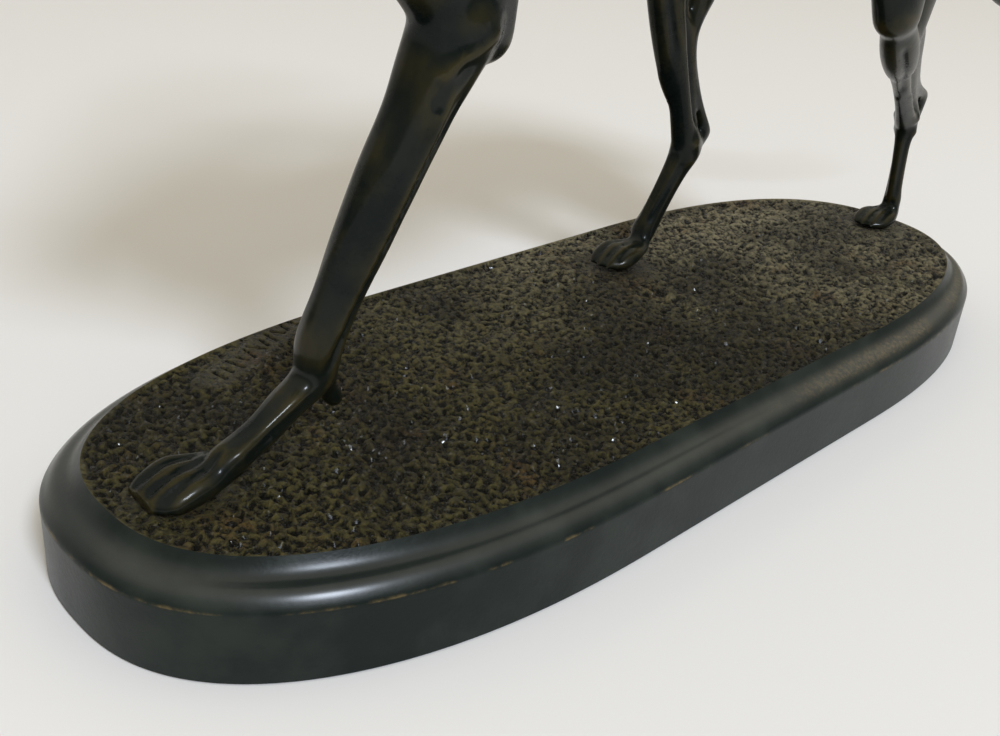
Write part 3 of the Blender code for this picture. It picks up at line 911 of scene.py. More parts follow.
def muscle(bm, start, end, width, depth, side=(0, 1, 0)):
    """Egg-shaped body from start to end, with a half width along side and a half depth."""
    start, end = Vector(start), Vector(end)
    across, fore = cross_axes((end - start).normalized(), side)
    rings = []
    for k in range(1, MUSCLE_RINGS):
        turn = math.pi * k / MUSCLE_RINGS
        centre = start.lerp(end, (1 - math.cos(turn)) / 2)
        full = math.sin(turn)
        rings.append((centre, across * width * full, fore * depth * full))
    loft(bm, rings)


def bead(bm, centre, radius):
    """Small round knob."""
    reach = Vector((0, 0, radius))
    muscle(bm, Vector(centre) - reach, Vector(centre) + reach, radius, radius)


print("tube and muscle makers are ready")

# %% [markdown]
# ## Paws
# A greyhound's foot is long and its toes arch like fingers on a table. Each toe is one tube
# that rises to a knuckle and comes down to a claw, and the clefts between the toes stay open
# because the tubes only just touch.

# %% Paws
# Toes of a paw: sideways place and how far forward each stands
TOES = ((-0.0240, -0.012), (-0.0090, 0.003), (0.0100, 0.005), (0.0290, -0.001))
# Sections of a toe: forward, lift, share of its sideways place, half width, half depth
TOE_SECTIONS = (
    (-0.048, 0.0230, 0.55, 0.0110, 0.0125),
    (-0.026, 0.0245, 0.85, 0.0102, 0.0118),
    (-0.004, 0.0255, 1.02, 0.0130, 0.0146),
    (0.017, 0.0180, 1.06, 0.0122, 0.0128),
    (0.032, 0.0112, 1.02, 0.0114, 0.0106),
)
CLAW_SECTIONS = (
    (0.032, 0.0155, 1.02, 0.0062, 0.0064),
    (0.046, 0.0070, 0.98, 0.0040, 0.0042),
)


def paw_frame(leg):
    """The paw's centre and its own forward, upward and sideways steps."""
    size = leg["paw_size"]
    back = Vector(leg.get("back_of_paw", (0, 0, 1)))
    ahead = Vector(leg["heading"]).normalized() * size
    side = ahead.cross(back).normalized() * size
    return Vector(leg["paw"]), ahead, back * size * leg["paw_lift"], side


def paw(bm, leg):
    """Four arched toes with claws, round a pad."""
    size = leg["paw_size"]
    centre, ahead, up, side = paw_frame(leg)
    for spread, forward in TOES:
        for sections in (TOE_SECTIONS, CLAW_SECTIONS):
            rows = []
            for far, lift, fan, wide, deep in sections:
                point = centre + ahead * (forward + far) + up * lift + side * spread * fan
                rows.append((point, wide * size, deep * size))
            tube(bm, rows, side)
    heel_pad = centre - ahead * 0.046 + up * 0.013
    muscle(bm, heel_pad, centre + ahead * 0.022 + up * 0.010, 0.029 * size, 0.015 * size, side)


print("toe sections:", len(TOE_SECTIONS))

# %% [markdown]
# ## Forelegs
# A greyhound's forearm is a straight column with two muscle bellies below the elbow. Lower
# down, the long tendons stand off the bone behind it and leave a hollow between, which ends
# in the round pad behind the wrist.

# %% Forelegs
BLADE_TOP = (-0.400, 0.045, 0.945)
BLADE_BACK = (-0.335, 0.075, 0.880)
# Sections of a forearm: share of the way from elbow to wrist, forward bow, half width, half depth
FOREARM_SECTIONS = (
    (-0.03, 0.000, 0.0420, 0.0490),
    (0.12, 0.002, 0.0370, 0.0420),
    (0.24, 0.004, 0.0320, 0.0360),
    (0.40, 0.006, 0.0310, 0.0360),
    (0.60, 0.008, 0.0275, 0.0320),
    (0.76, 0.009, 0.0240, 0.0265),
    (0.90, 0.006, 0.0250, 0.0270),
    (1.00, -0.004, 0.0240, 0.0210),
)
# Muscles that run down it: share, angle from its front to its outer side, reach, half sizes
FOREARM_STRANDS = (
    ((-0.05, 55, 0.016, 0.020, 0.022), (0.16, 60, 0.018, 0.023, 0.026),
     (0.40, 62, 0.014, 0.018, 0.020), (0.72, 50, 0.009, 0.012, 0.014)),
    ((0.02, 120, 0.012, 0.020, 0.022), (0.20, 118, 0.014, 0.020, 0.022),
     (0.50, 112, 0.012, 0.014, 0.016), (0.85, 100, 0.010, 0.009, 0.012)),
    ((0.12, 195, 0.018, 0.020, 0.020), (0.40, 185, 0.020, 0.013, 0.014),
     (0.70, 175, 0.013, 0.009, 0.010), (0.88, 170, 0.016, 0.008, 0.010),
     (1.02, 172, 0.029, 0.009, 0.010)),
)


def round_bone(a, b, share, angle, reach, side):
    """A place beside a bone: angle 0 is in front of it, 90 on its outer side, 180 behind."""
    along = (Vector(b) - Vector(a)).normalized()
    front = (Vector((-1, 0, 0)) + along * along.x).normalized()
    outer = Vector((0, side, 0)) - along * along.y * side
    outer = (outer - front * outer.dot(front)).normalized()
    turn = math.radians(angle)
    return between(a, b, share) + (front * math.cos(turn) + outer * math.sin(turn)) * reach


def foreleg(bm, leg, side):
    """Shoulder, arm, forearm and paw of one foreleg."""
    shoulder, elbow, carpus = leg["shoulder"], leg["elbow"], leg["carpus"]
    blade_top = mirrored(BLADE_TOP, side)
    blade_back = mirrored(BLADE_BACK, side)
    muscle(bm, blade_top + Vector((0, 0, 0.03)), between(shoulder, blade_top, -0.25),
           0.046, 0.080)
    muscle(bm, blade_back, between(blade_back, elbow, 1.12), 0.045, 0.085)
    muscle(bm, between(shoulder, elbow, -0.28), between(shoulder, elbow, 1.08), 0.044, 0.054)
    forearm = [(round_bone(elbow, carpus, share, 0, bow, side), width, depth)
               for share, bow, width, depth in FOREARM_SECTIONS]
    forearm += [(between(carpus, leg["pastern"], 0.5), 0.0235, 0.0185),
                (leg["pastern"], 0.0215, 0.0180),
                (leg["fetlock"], 0.0225, 0.0165)]
    tube(bm, forearm)
    for strand in FOREARM_STRANDS:
        tube(bm, [(round_bone(elbow, carpus, share, angle, reach, side), width, depth)
                  for share, angle, reach, width, depth in strand])
    point = Vector(elbow) + Vector(leg["elbow_point"])
    tube(bm, [(point + Vector((0.002, 0, 0.090)), 0.030, 0.028), (point, 0.024, 0.028)])
    tube(bm, [(elbow, 0.030, 0.034), (point, 0.024, 0.028)])
    knob = Vector(carpus) + Vector(leg["wrist_pad"])
    tube(bm, [(between(carpus, knob, 0.55), 0.0100, 0.0110), (knob, 0.0135, 0.0150)])
    paw(bm, leg)


print("strands beside the forearm:", len(FOREARM_STRANDS))

# %% [markdown]
# ## Hind legs
# The thigh is a broad flat fan. Below the knee the shin muscle makes a rounded belly that
# stops short two thirds of the way down, and the tendon of the heel runs free behind it. Both
# show clearly from the front, so each has a body of its own.

# %% Hind legs
LOIN_SIDE = (0.220, 0.045, 0.930)
FLANK = (0.240, 0.065, 0.735)
SEAT = (0.545, 0.050, 0.745)
# Sections of a shank from stifle to hock: share, half width, half depth
SHANK_SECTIONS = (
    (0.00, 0.0210, 0.0360),
    (0.14, 0.0210, 0.0360),
    (0.36, 0.0200, 0.0320),
    (0.60, 0.0170, 0.0250),
    (0.80, 0.0165, 0.0245),
    (0.94, 0.0185, 0.0275),
)
# Sections of the bone below the hock, times the leg's cannon_size
CANNON_SECTIONS = (
    (0.00, 0.0205, 0.0270),
    (0.20, 0.0165, 0.0235),
    (0.50, 0.0150, 0.0210),
    (0.84, 0.0165, 0.0195),
    (1.00, 0.0200, 0.0170),
)


def hindleg(bm, leg, side):
    """Rump, thigh, shank, hock and paw of one hind leg."""
    hip, stifle, hock = (Vector(leg[key]) for key in ("hip", "stifle", "hock"))
    heel, fetlock = Vector(leg["heel"]), Vector(leg["fetlock"])
    seat = mirrored(SEAT, side)
    muscle(bm, mirrored(LOIN_SIDE, side), between(hip, seat, 0.55), 0.052, 0.080)
    thigh = [
        (between(hip, stifle, -0.10), 0.050, 0.100),
        (between(hip, stifle, 0.22), 0.060, 0.122),
        (between(hip, stifle, 0.55), 0.050, 0.100),
        (between(hip, stifle, 0.85), 0.034, 0.066),
        (between(hip, stifle, 1.02), 0.028, 0.046),
    ]
    tube(bm, thigh)
    below_knee = between(stifle, hock, 0.30)
    ham = [
        (between(seat, hip, 0.10), 0.046, 0.070),
        (between(seat, below_knee, 0.35), 0.044, 0.086),
        (between(seat, below_knee, 0.70), 0.032, 0.068),
        (below_knee, 0.020, 0.036),
    ]
    tube(bm, ham)
    muscle(bm, mirrored(FLANK, side), between(stifle, hip, -0.05), 0.024, 0.055)
    cannon = leg["cannon_size"]
    shank = [(between(stifle, hock, share), width, depth)
             for share, width, depth in SHANK_SECTIONS]
    shank += [(between(hock, fetlock, share), width * cannon, depth * cannon)
              for share, width, depth in CANNON_SECTIONS]
    tube(bm, shank)

    def beside(share, angle, reach):
        return round_bone(stifle, hock, share, angle, reach, side)

    muscle(bm, beside(-0.06, 25, 0.014), beside(leg["belly_end"], 25, 0.018), 0.0215, 0.027)
    muscle(bm, beside(0.00, 80, 0.012), beside(leg["belly_end"], 80, 0.014), 0.0210, 0.027)
    string = [
        (leg["calf"], 0.026, 0.046),
        (leg["calf_end"], 0.021, 0.034),
        (between(stifle, hock, 0.56) + (heel - hock) * 0.64, 0.012, 0.018),
        (between(stifle, hock, 0.80) + (heel - hock) * 0.70, 0.0085, 0.012),
        (between(heel, hock, 0.02), 0.0125, 0.014),
    ]
    tube(bm, string)
    tube(bm, [(between(heel, hock, 0.15), 0.0125, 0.016),
              (between(hock, fetlock, 0.28) + (heel - hock) * 0.16, 0.011, 0.013)])
    for hand in (-1, 1):
        across = Vector((0, 0.0185 * hand, 0))
        bead(bm, between(stifle, hock, 0.97) + across, 0.0105)
        bead(bm, between(hock, fetlock, 0.13) + across * 0.95, 0.0090)
    paw(bm, leg)


print("shank and cannon sections:", len(SHANK_SECTIONS) + len(CANNON_SECTIONS))

# %% [markdown]
# ## Trunk, neck, head and tail
# The photograph stops at the elbows, so the upper dog is modelled on the breed: a deep
# chest, an arched loin, a long neck turned back over the shoulder and small folded ears. Its
# shadow on the table gives the raised paw, the turn of the head and the line of the back.

# %% Sections of trunk, neck, head and tail
# Sections of the trunk: x, top, bottom, half width
TRUNK_SECTIONS = (
    (-0.570, 0.790, 0.610, 0.055),
    (-0.520, 0.885, 0.545, 0.092),
    (-0.420, 0.955, 0.475, 0.114),
    (-0.300, 0.962, 0.447, 0.124),
    (-0.150, 0.958, 0.468, 0.123),
    (0.000, 0.962, 0.528, 0.110),
    (0.120, 0.974, 0.625, 0.088),
    (0.240, 0.983, 0.700, 0.078),
    (0.360, 0.970, 0.705, 0.092),
    (0.480, 0.915, 0.680, 0.088),
    (0.545, 0.860, 0.690, 0.062),
)
# Sections of the neck: place, half width, half depth
NECK_SECTIONS = (
    (-0.415, 0.000, 0.780, 0.088, 0.150),
    (-0.410, 0.000, 0.900, 0.076, 0.128),
    (-0.380, -0.002, 1.020, 0.060, 0.098),
    (-0.332, -0.010, 1.130, 0.051, 0.078),
    (-0.262, -0.020, 1.235, 0.048, 0.068),
    (-0.180, -0.030, 1.300, 0.047, 0.060),
)
HEAD_BACK = (-0.185, -0.030, 1.335)
HEAD_HEADING = (0.90, -0.35, -0.16)
# Sections of head and jaw: forward, lift, half width, half depth
HEAD_SECTIONS = (
    (0.000, 0.000, 0.044, 0.044),
    (0.060, 0.008, 0.059, 0.054),
    (0.125, 0.005, 0.056, 0.048),
    (0.180, -0.004, 0.040, 0.037),
    (0.245, -0.013, 0.029, 0.030),
    (0.310, -0.021, 0.024, 0.024),
    (0.352, -0.026, 0.019, 0.018),
)
JAW_SECTIONS = (
    (0.060, -0.034, 0.040, 0.034),
    (0.140, -0.040, 0.031, 0.027),
    (0.225, -0.040, 0.022, 0.018),
    (0.315, -0.042, 0.017, 0.013),
)
# Sections of the tail: place, half thickness
TAIL_SECTIONS = (
    (0.500, 0.000, 0.850, 0.034),
    (0.570, 0.000, 0.765, 0.030),
    (0.640, 0.000, 0.665, 0.025),
    (0.720, 0.000, 0.561, 0.021),
    (0.824, 0.000, 0.473, 0.018),
    (0.936, 0.000, 0.405, 0.015),
    (1.032, 0.000, 0.365, 0.0125),
    (1.120, 0.000, 0.358, 0.010),
    (1.190, 0.000, 0.375, 0.007),
)

print("trunk sections:", len(TRUNK_SECTIONS), "tail sections:", len(TAIL_SECTIONS))

# %% [markdown]
# ## Putting the bodies together
# The head has its own three directions, so that its tables read as forward, lift and aside
# however the neck turns it. All the bodies go into one mesh. They still cross each other
# there, as lumps of wax do before they are smoothed together.

# %% Bodies of the dog
head_ahead = Vector(HEAD_HEADING).normalized()
head_side = head_ahead.cross(Vector((0, 0, 1))).normalized()
head_up = head_side.cross(head_ahead)


def on_head(forward, lift, aside):
    """A place on the head: distance forward from its back, lift, and distance to its right."""
    return Vector(HEAD_BACK) + head_ahead * forward + head_up * lift + head_side * aside


def trunk(bm):
    stations = []
    for x, top, bottom, half_width in TRUNK_SECTIONS:
        stations.append(((x, 0.0, (top + bottom) / 2), half_width, (top - bottom) / 2))
    tube(bm, stations)
    for side in (-1, 1):
        muscle(bm, mirrored((-0.600, 0.030, 0.740), side), mirrored((-0.430, 0.060, 0.500), side),
               0.048, 0.056)
        muscle(bm, mirrored((-0.340, 0.036, 0.935), side), mirrored((0.400, 0.040, 0.925), side),
               0.038, 0.048)


def neck_and_head(bm):
    tube(bm, [(point, width, depth) for *point, width, depth in NECK_SECTIONS])
    for sections in (HEAD_SECTIONS, JAW_SECTIONS):
        rows = [(on_head(far, lift, 0), width, depth) for far, lift, width, depth in sections]
        tube(bm, rows, head_side)
    bead(bm, on_head(0.362, -0.020, 0), 0.0145)
    for hand in (-1, 1):
        muscle(bm, on_head(0.030, -0.012, 0.034 * hand), on_head(0.135, -0.030, 0.030 * hand),
               0.018, 0.034, head_side)
        muscle(bm, on_head(0.108, 0.036, 0.024 * hand), on_head(0.172, 0.018, 0.030 * hand),
               0.011, 0.012, head_side)
        bead(bm, on_head(0.152, 0.012, 0.0345 * hand), 0.0125)
        ear = [(on_head(0.060, 0.034, 0.042 * hand), 0.012, 0.018),
               (on_head(0.018, 0.042, 0.055 * hand), 0.011, 0.026),
               (on_head(-0.030, 0.026, 0.056 * hand), 0.009, 0.022),
               (on_head(-0.066, 0.006, 0.049 * hand), 0.006, 0.009)]
        tube(bm, ear, head_side)


def tail(bm):
    tube(bm, [(point, thick, thick) for *point, thick in TAIL_SECTIONS])


def dog_bodies():
    bm = bmesh.new()
    trunk(bm)
    for leg, side in FORE_LEGS:
        foreleg(bm, leg, side)
    for leg, side in HIND_LEGS:
        hindleg(bm, leg, side)
    neck_and_head(bm)
    tail(bm)
    mesh = bpy.data.meshes.new("dog_bodies")
    bm.to_mesh(mesh)
    bm.free()
    return mesh


print("head points along", [round(value, 3) for value in head_ahead])

# %% [markdown]
# ## One skin
# The voxel remesh wraps all the bodies in one even mesh. It leaves small steps, and seams
# where bodies meet. Blurring the points' places melts both: a little on the legs, where the
# tendons have to stay crisp, and much more on the trunk, where muscles run into each other.

# %% Skin
SKIN_VOXEL = 0.0006
FINE_PASSES = 4
BROAD_PASSES = 26
LAST_PASSES = 2
DOG_TRIANGLES = 192000


def fineness(points):
    """1 where small forms matter, on legs, paws and head, and 0 on the trunk."""
    share = (points - np.array([0.0, 0.0, SOLE])) / WITHERS
    fine = np.clip((0.50 - share[:, 2]) / 0.16, 0, 1)
    head = np.linalg.norm(share - np.array(on_head(0.17, 0, 0)), axis=1)
    fine = np.maximum(fine, np.clip((0.30 - head) / 0.10, 0, 1))
    ahead = np.clip((-0.55 - share[:, 0]) / 0.06, 0, 1)
    return np.maximum(fine, ahead * np.clip((0.74 - share[:, 2]) / 0.04, 0, 1))


def relax_tree():
    """Blur the places of a mesh's points, by a weight field."""
    graph, given = tree_with_inputs("relax", {"Skin": "Geometry", "Passes": "Int",
                                              "Material": "Material"})
    weight = graph.add("GeometryNodeInputNamedAttribute", {"data_type": "FLOAT"}, ("weight",))
    spot = graph.add("GeometryNodeInputPosition")
    soft = graph.add("GeometryNodeBlurAttribute", {"data_type": "FLOAT_VECTOR"},
                     {"Value": spot, "Iterations": given["Passes"], "Weight": weight})
    moved = graph.add("GeometryNodeSetPosition", None,
                      {"Geometry": given["Skin"], "Position": soft})
    finish_tree(graph, moved, given["Material"])
    return graph


def skin_of(bodies):
    obj = add_object("dog_bodies", bodies)
    wrap = obj.modifiers.new("Skin", "REMESH")
    wrap.mode = "VOXEL"
    wrap.voxel_size = SKIN_VOXEL
    mesh = evaluated(obj)
    bpy.data.objects.remove(obj, do_unlink=True)
    print("skin:", len(mesh.vertices), "points")
    return mesh


def relax(mesh, passes, weight, material):
    save_field(mesh, "weight", weight)
    return run_tree("dog", relax_tree(), {"Passes": passes, "Material": material}, mesh)


print("skin makers are ready")

# %% [markdown]
# ## Lines pressed into the skin
# Tendons, ribs, the clefts between toes and the line of the mouth are too fine for bodies of
# their own. Each is a line on the skin, given by its place along a bone and the angle round
# it, so the same table serves a left and a right leg. A ray from the bone finds the skin,
# and every point near the line moves out or in by a bell-shaped amount.

# %% Tables of lines
# Each line: half width, lift (below 0 cuts in), and (share, angle) places along it
FOREARM_LINES = (
    (0.0065, 0.0026, ((0.03, 70), (0.20, 82), (0.45, 84), (0.70, 78), (0.93, 68))),
    (0.0052, -0.0044, ((0.10, 112), (0.30, 110), (0.50, 106), (0.70, 98), (0.86, 90), (1.00, 84))),
    (0.0055, 0.0014, ((0.50, 130), (0.75, 122), (0.92, 112), (1.02, 108))),
    (0.0085, 0.0040, ((-0.05, 128), (0.00, 100), (0.06, 70), (0.13, 52))),
    (0.0070, -0.0036, ((0.05, 84), (0.12, 74), (0.20, 66))),
    (0.0070, 0.0020, ((0.25, 8), (0.60, 6), (0.92, 4))),
    (0.0050, -0.0034, ((0.12, -68), (0.50, -76), (0.90, -74))),
    (0.0036, 0.0009, ((0.96, -34), (0.74, -16), (0.55, 14), (0.36, 24))),
)
METACARPUS_LINES = (
    (0.0050, -0.0014, ((0.10, 34), (0.50, 30), (0.95, 26))),
    (0.0050, -0.0014, ((0.10, -34), (0.50, -30), (0.95, -26))),
    (0.0060, 0.0020, ((0.15, 84), (0.55, 80), (1.00, 76))),
    (0.0048, -0.0026, ((0.05, 112), (0.50, 112), (0.95, 116))),
)
SHANK_LINES = (
    (0.0080, -0.0085, ((0.34, 136), (0.55, 140), (0.75, 142), (0.93, 140))),
    (0.0080, -0.0085, ((0.34, -136), (0.55, -140), (0.75, -142), (0.93, -140))),
    (0.0050, 0.0030, ((0.62, 18), (0.80, 14), (1.00, 8))),
    (0.0055, -0.0044, ((0.10, 62), (0.35, 58), (0.60, 46))),
    (0.0055, -0.0044, ((0.10, -30), (0.35, -32), (0.60, -34))),
    (0.0045, 0.0022, ((0.66, 96), (0.80, 98), (0.96, 92))),
)
CANNON_LINES = (
    (0.0042, -0.0034, ((0.12, 52), (0.55, 48), (0.92, 40))),
    (0.0042, -0.0030, ((0.12, -52), (0.55, -48), (0.92, -40))),
    (0.0042, -0.0036, ((0.10, 128), (0.50, 132), (0.92, 136))),
)
# Each line on the trunk: half width, lift, and (x, angle from the spine) places along it
TRUNK_LINES = (
    (0.0140, 0.0050, ((-0.36, 3), (-0.10, 2), (0.15, 2), (0.40, 2))),
    (0.0160, -0.0070, ((-0.30, 28), (-0.05, 26), (0.20, 24), (0.42, 26))),
    (0.0200, -0.0100, ((-0.24, 60), (-0.22, 90), (-0.27, 118), (-0.33, 140))),
    (0.0220, -0.0120, ((0.16, 52), (0.15, 84), (0.10, 112), (0.02, 138))),
    (0.0160, 0.0060, ((-0.30, 172), (-0.05, 174), (0.12, 176))),
)
RIB_COUNT = 8
FIRST_RIB = -0.20
RIB_STEP = 0.038
RIB = (0.0085, 0.0046)
# Half width and lift of the clefts between the toes, times the leg's paw_size
CLEFT = (0.0032, -0.0040)
# Lines on both sides of the face: half width, lift, and (forward, lift, aside) places
FACE_LINES = (
    (0.0040, -0.0058, ((0.175, -0.036, 0.031), (0.250, -0.030, 0.024), (0.335, -0.031, 0.014))),
    (0.0036, 0.0026, ((0.135, 0.024, 0.050), (0.153, 0.028, 0.048), (0.170, 0.014, 0.042))),
    (0.0034, -0.0044, ((0.134, 0.008, 0.050), (0.150, 0.000, 0.050), (0.168, 0.006, 0.045))),
    (0.0046, -0.0036, ((0.120, 0.052, 0.000), (0.180, 0.040, 0.000), (0.240, 0.022, 0.000))),
    (0.0030, -0.0050, ((0.362, -0.016, 0.008), (0.368, -0.014, 0.012), (0.362, -0.020, 0.015))),
    (0.0060, -0.0060, ((0.055, 0.036, 0.046), (0.020, 0.044, 0.060), (-0.030, 0.026, 0.062))),
)


print("lines on a foreleg:", len(FOREARM_LINES) + len(METACARPUS_LINES), "ribs:", RIB_COUNT)

# %% [markdown]
# ## Finding the lines on the skin
# A BVH tree holds the skin's faces so that a ray can be tested against all of them quickly.
# Rays start on a bone or on the middle line of the trunk and stop at the skin. The face has
# no bone to start from, so its lines are moved to the nearest place on the skin.

# %% Lines on the skin
def skin_hit(tree, start, direction):
    """Where a ray from inside meets the skin, both in shares of the withers height."""
    return tree.ray_cast(place(start), direction)[0]


def found(hits):
    return [hit for hit in hits if hit is not None]


def bone_line(tree, a, b, side, path):
    along = (Vector(b) - Vector(a)).normalized()
    hits = []
    for share, angle in smooth_path(path, 5):
        out = round_bone(a, b, share, angle, 1.0, side) - between(a, b, share)
        hits.append(skin_hit(tree, between(a, b, share), out - along * out.dot(along)))
    return found(hits)


def trunk_line(tree, side, path):
    tops = np.array(TRUNK_SECTIONS)
    hits = []
    for x, angle in smooth_path(path, 6):
        top, bottom = (np.interp(x, tops[:, 0], tops[:, k]) for k in (1, 2))
        turn = math.radians(angle)
        out = Vector((0, side * math.sin(turn), math.cos(turn)))
        hits.append(skin_hit(tree, (x, 0, (top + bottom) / 2), out))
    return found(hits)


def head_line(tree, hand, path):
    return [tree.find_nearest(place(on_head(far, lift, aside * hand)))[0]
            for far, lift, aside in smooth_path(path, 5)]


def cleft_lines(tree, leg):
    """Lines between neighbouring toes, found by rays down onto the paw."""
    centre, ahead, up, side = paw_frame(leg)
    lines = []
    for (left, back), (right, front) in zip(TOES, TOES[1:]):
        hits = []
        for share in range(9):
            forward = (back + front) / 2 - 0.038 + 0.076 * share / 8
            fan = 0.80 + 0.28 * min(1.0, share / 4)
            above = centre + ahead * forward + side * (left + right) / 2 * fan + up * 0.080
            hits.append(skin_hit(tree, above, -up))
        lines.append(found(hits))
    return lines


print("line finders are ready")

# %% [markdown]
# ## Pressing them in
# Each point's distance to the line decides how far it moves along its own normal. The move
# fades towards both ends of the line, so that a tendon sinks back into the leg and doesn't
# stop like a piece of wire.

# %% Pressed lines
def press(points, normals, line, half_width, lift):
    """Move the points near a line along their normals, most at the line's middle."""
    line = np.array([list(point) for point in line])
    if len(line) < 2:
        return
    reach = half_width * WITHERS
    low, high = line.min(0) - reach * 3, line.max(0) + reach * 3
    near = np.flatnonzero(((points > low) & (points < high)).all(1))
    best = np.full(len(near), np.inf)
    run = np.zeros(len(near))
    for k, (start, end) in enumerate(zip(line, line[1:])):
        step = end - start
        share = np.clip(((points[near] - start) @ step) / max(step @ step, 1e-12), 0, 1)
        away = ((points[near] - start - share[:, None] * step) ** 2).sum(1)
        closer = away < best
        best[closer] = away[closer]
        run[closer] = (k + share[closer]) / (len(line) - 1)
    fade = np.clip(np.minimum(run, 1 - run) / 0.18, 0, 1)
    fade = 0.15 + 0.85 * fade * fade * (3 - 2 * fade)
    bell = np.exp(-best / reach ** 2) * fade * lift * WITHERS
    points[near] += normals[near] * bell[:, None]


def all_lines(tree):
    """Every pressed line on the dog as (half width, lift, places)."""
    bones = []
    for leg, side in FORE_LEGS:
        bones.append((FOREARM_LINES, leg["elbow"], leg["carpus"], side))
        bones.append((METACARPUS_LINES, leg["carpus"], leg["fetlock"], side))
    for leg, side in HIND_LEGS:
        bones.append((SHANK_LINES, leg["stifle"], leg["hock"], side))
        bones.append((CANNON_LINES, leg["hock"], leg["fetlock"], side))
    lines = [(half_width, lift, bone_line(tree, a, b, side, path))
             for table, a, b, side in bones for half_width, lift, path in table]
    for leg, side in FORE_LEGS + HIND_LEGS:
        half_width, lift = (value * leg["paw_size"] for value in CLEFT)
        lines += [(half_width, lift, line) for line in cleft_lines(tree, leg)]
    for side in (-1, 1):
        trunk_paths = list(TRUNK_LINES)
        for k in range(RIB_COUNT):
            x = FIRST_RIB + RIB_STEP * k
            rib = ((x - 0.03, 52), (x, 84), (x + 0.008, 112), (x - 0.03, 140))
            trunk_paths.append((*RIB, rib))
        for half_width, lift, path in trunk_paths:
            lines.append((half_width, lift, trunk_line(tree, side, path)))
        for half_width, lift, path in FACE_LINES:
            lines.append((half_width, lift, head_line(tree, side, path)))
    return lines


def press_lines(mesh):
    points, normals = vectors_of(mesh), vectors_of(mesh, "normal")
    tree = BVHTree.FromPolygons(points.tolist(), [tuple(face.vertices) for face in mesh.polygons])
    lines = all_lines(tree)
    for half_width, lift, line in lines:
        press(points, normals, line, half_width, lift)
    put_back(mesh, points)
    mesh.update()
    print("pressed", len(lines), "lines")


print("lines can be pressed")

# %% [markdown]
# ## The finished dog
# The skin is built, eased, pressed with its lines and eased once more. The soles stay just
# above the ground. A last field records how far each place stands out, because that is where
# a bronze is rubbed bright.

# %% Dog
WEAR_PASSES = 10
WEAR_STEP = 0.0020
INSIDE_BOX = 2e-5


def standing_out(mesh):
    """How far each place stands out of its surroundings, 0.5 where the skin is even."""
    points = vectors_of(mesh)
    near = np.stack([blurred(mesh, points[:, k], WEAR_PASSES) for k in range(3)], 1)
    out = ((points - near) * vectors_of(mesh, "normal")).sum(1)
    even = blurred(mesh, out, WEAR_PASSES * 3)
    return np.clip(0.5 + (out - even) / (WITHERS * WEAR_STEP), 0, 1)


def build_dog(material):
    skin = skin_of(dog_bodies())
    fine = fineness(vectors_of(skin))
    everywhere = np.ones(len(fine))
    skin = relax(skin, FINE_PASSES, everywhere, material)
    skin = relax(skin, BROAD_PASSES, 1 - fine, material)
    press_lines(skin)
    skin = relax(skin, LAST_PASSES, everywhere, material)
    put_back(skin, np.clip(vectors_of(skin), np.array(dog_low), np.array(dog_high) - INSIDE_BOX))
    skin.shade_smooth()
    dog = add_object("greyhound_casting", skin)
    thin = dog.modifiers.new("Fewer faces", "DECIMATE")
    thin.ratio = min(1.0, DOG_TRIANGLES / (2 * len(skin.polygons)))
    mesh = evaluated(dog)
    dog.modifiers.clear()
    dog.data = mesh
    save_field(mesh, "worn", standing_out(mesh))
    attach(dog, "root")
    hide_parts("greyhound")
    print("dog:", len(mesh.polygons), "faces")


print("wear is judged over", WEAR_PASSES, "passes")

# %% [markdown]
# ## Dark, waxed and rubbed
# Old bronze is hardly metal to look at: a black-green skin with wax over it, and bare brown or
# gold only where hands and cloths rub. So the base is a dark coat that shines at grazing
# angles, and the metal comes in by a mask made from how far each place stands out.

# %% Finishes
BAND_PATINA = ((0.005, 0.0095, 0.0085), (0.016, 0.022, 0.018))
RUBBED_GOLD = (0.17, 0.125, 0.055)
PIT_BLACK = (0.0038, 0.0036, 0.0018)
DUST = ((0.098, 0.083, 0.022), (0.260, 0.226, 0.130))
RUST = (0.130, 0.068, 0.020)
DOG_PATINA = ((0.0035, 0.0060, 0.0055), (0.0065, 0.0085, 0.0060))
RUBBED_OLIVE = (0.030, 0.025, 0.009)


def new_finish(name, shine, wax_roughness):
    material = bpy.data.materials.new(name)
    material.use_nodes = True
    shader = material.node_tree.nodes["Principled BSDF"]
    shader.inputs["Specular IOR Level"].default_value = shine
    shader.inputs["Coat Roughness"].default_value = wax_roughness
    return material, Graph(material.node_tree), shader.inputs


def mesh_field(graph, name):
    return graph.add("ShaderNodeAttribute", {"attribute_name": name}, (), "Fac")


def object_place(graph):
    return graph.add("ShaderNodeTexCoord", None, (), "Object")


def roughen(graph, sockets, height, depth):
    """Fine surface grain too small for the mesh, as a bump."""
    values = {"Strength": 1.0, "Distance": depth, "Height": height}
    graph.feed(sockets["Normal"], graph.add("ShaderNodeBump", None, values))


print("finish helpers are ready")

# %% [markdown]
# ## The waxed edge
# The band and moulding were filed smooth, so they have a soft even shine. The sharp edge
# between them catches every cloth, and shows bright metal in broken dashes.

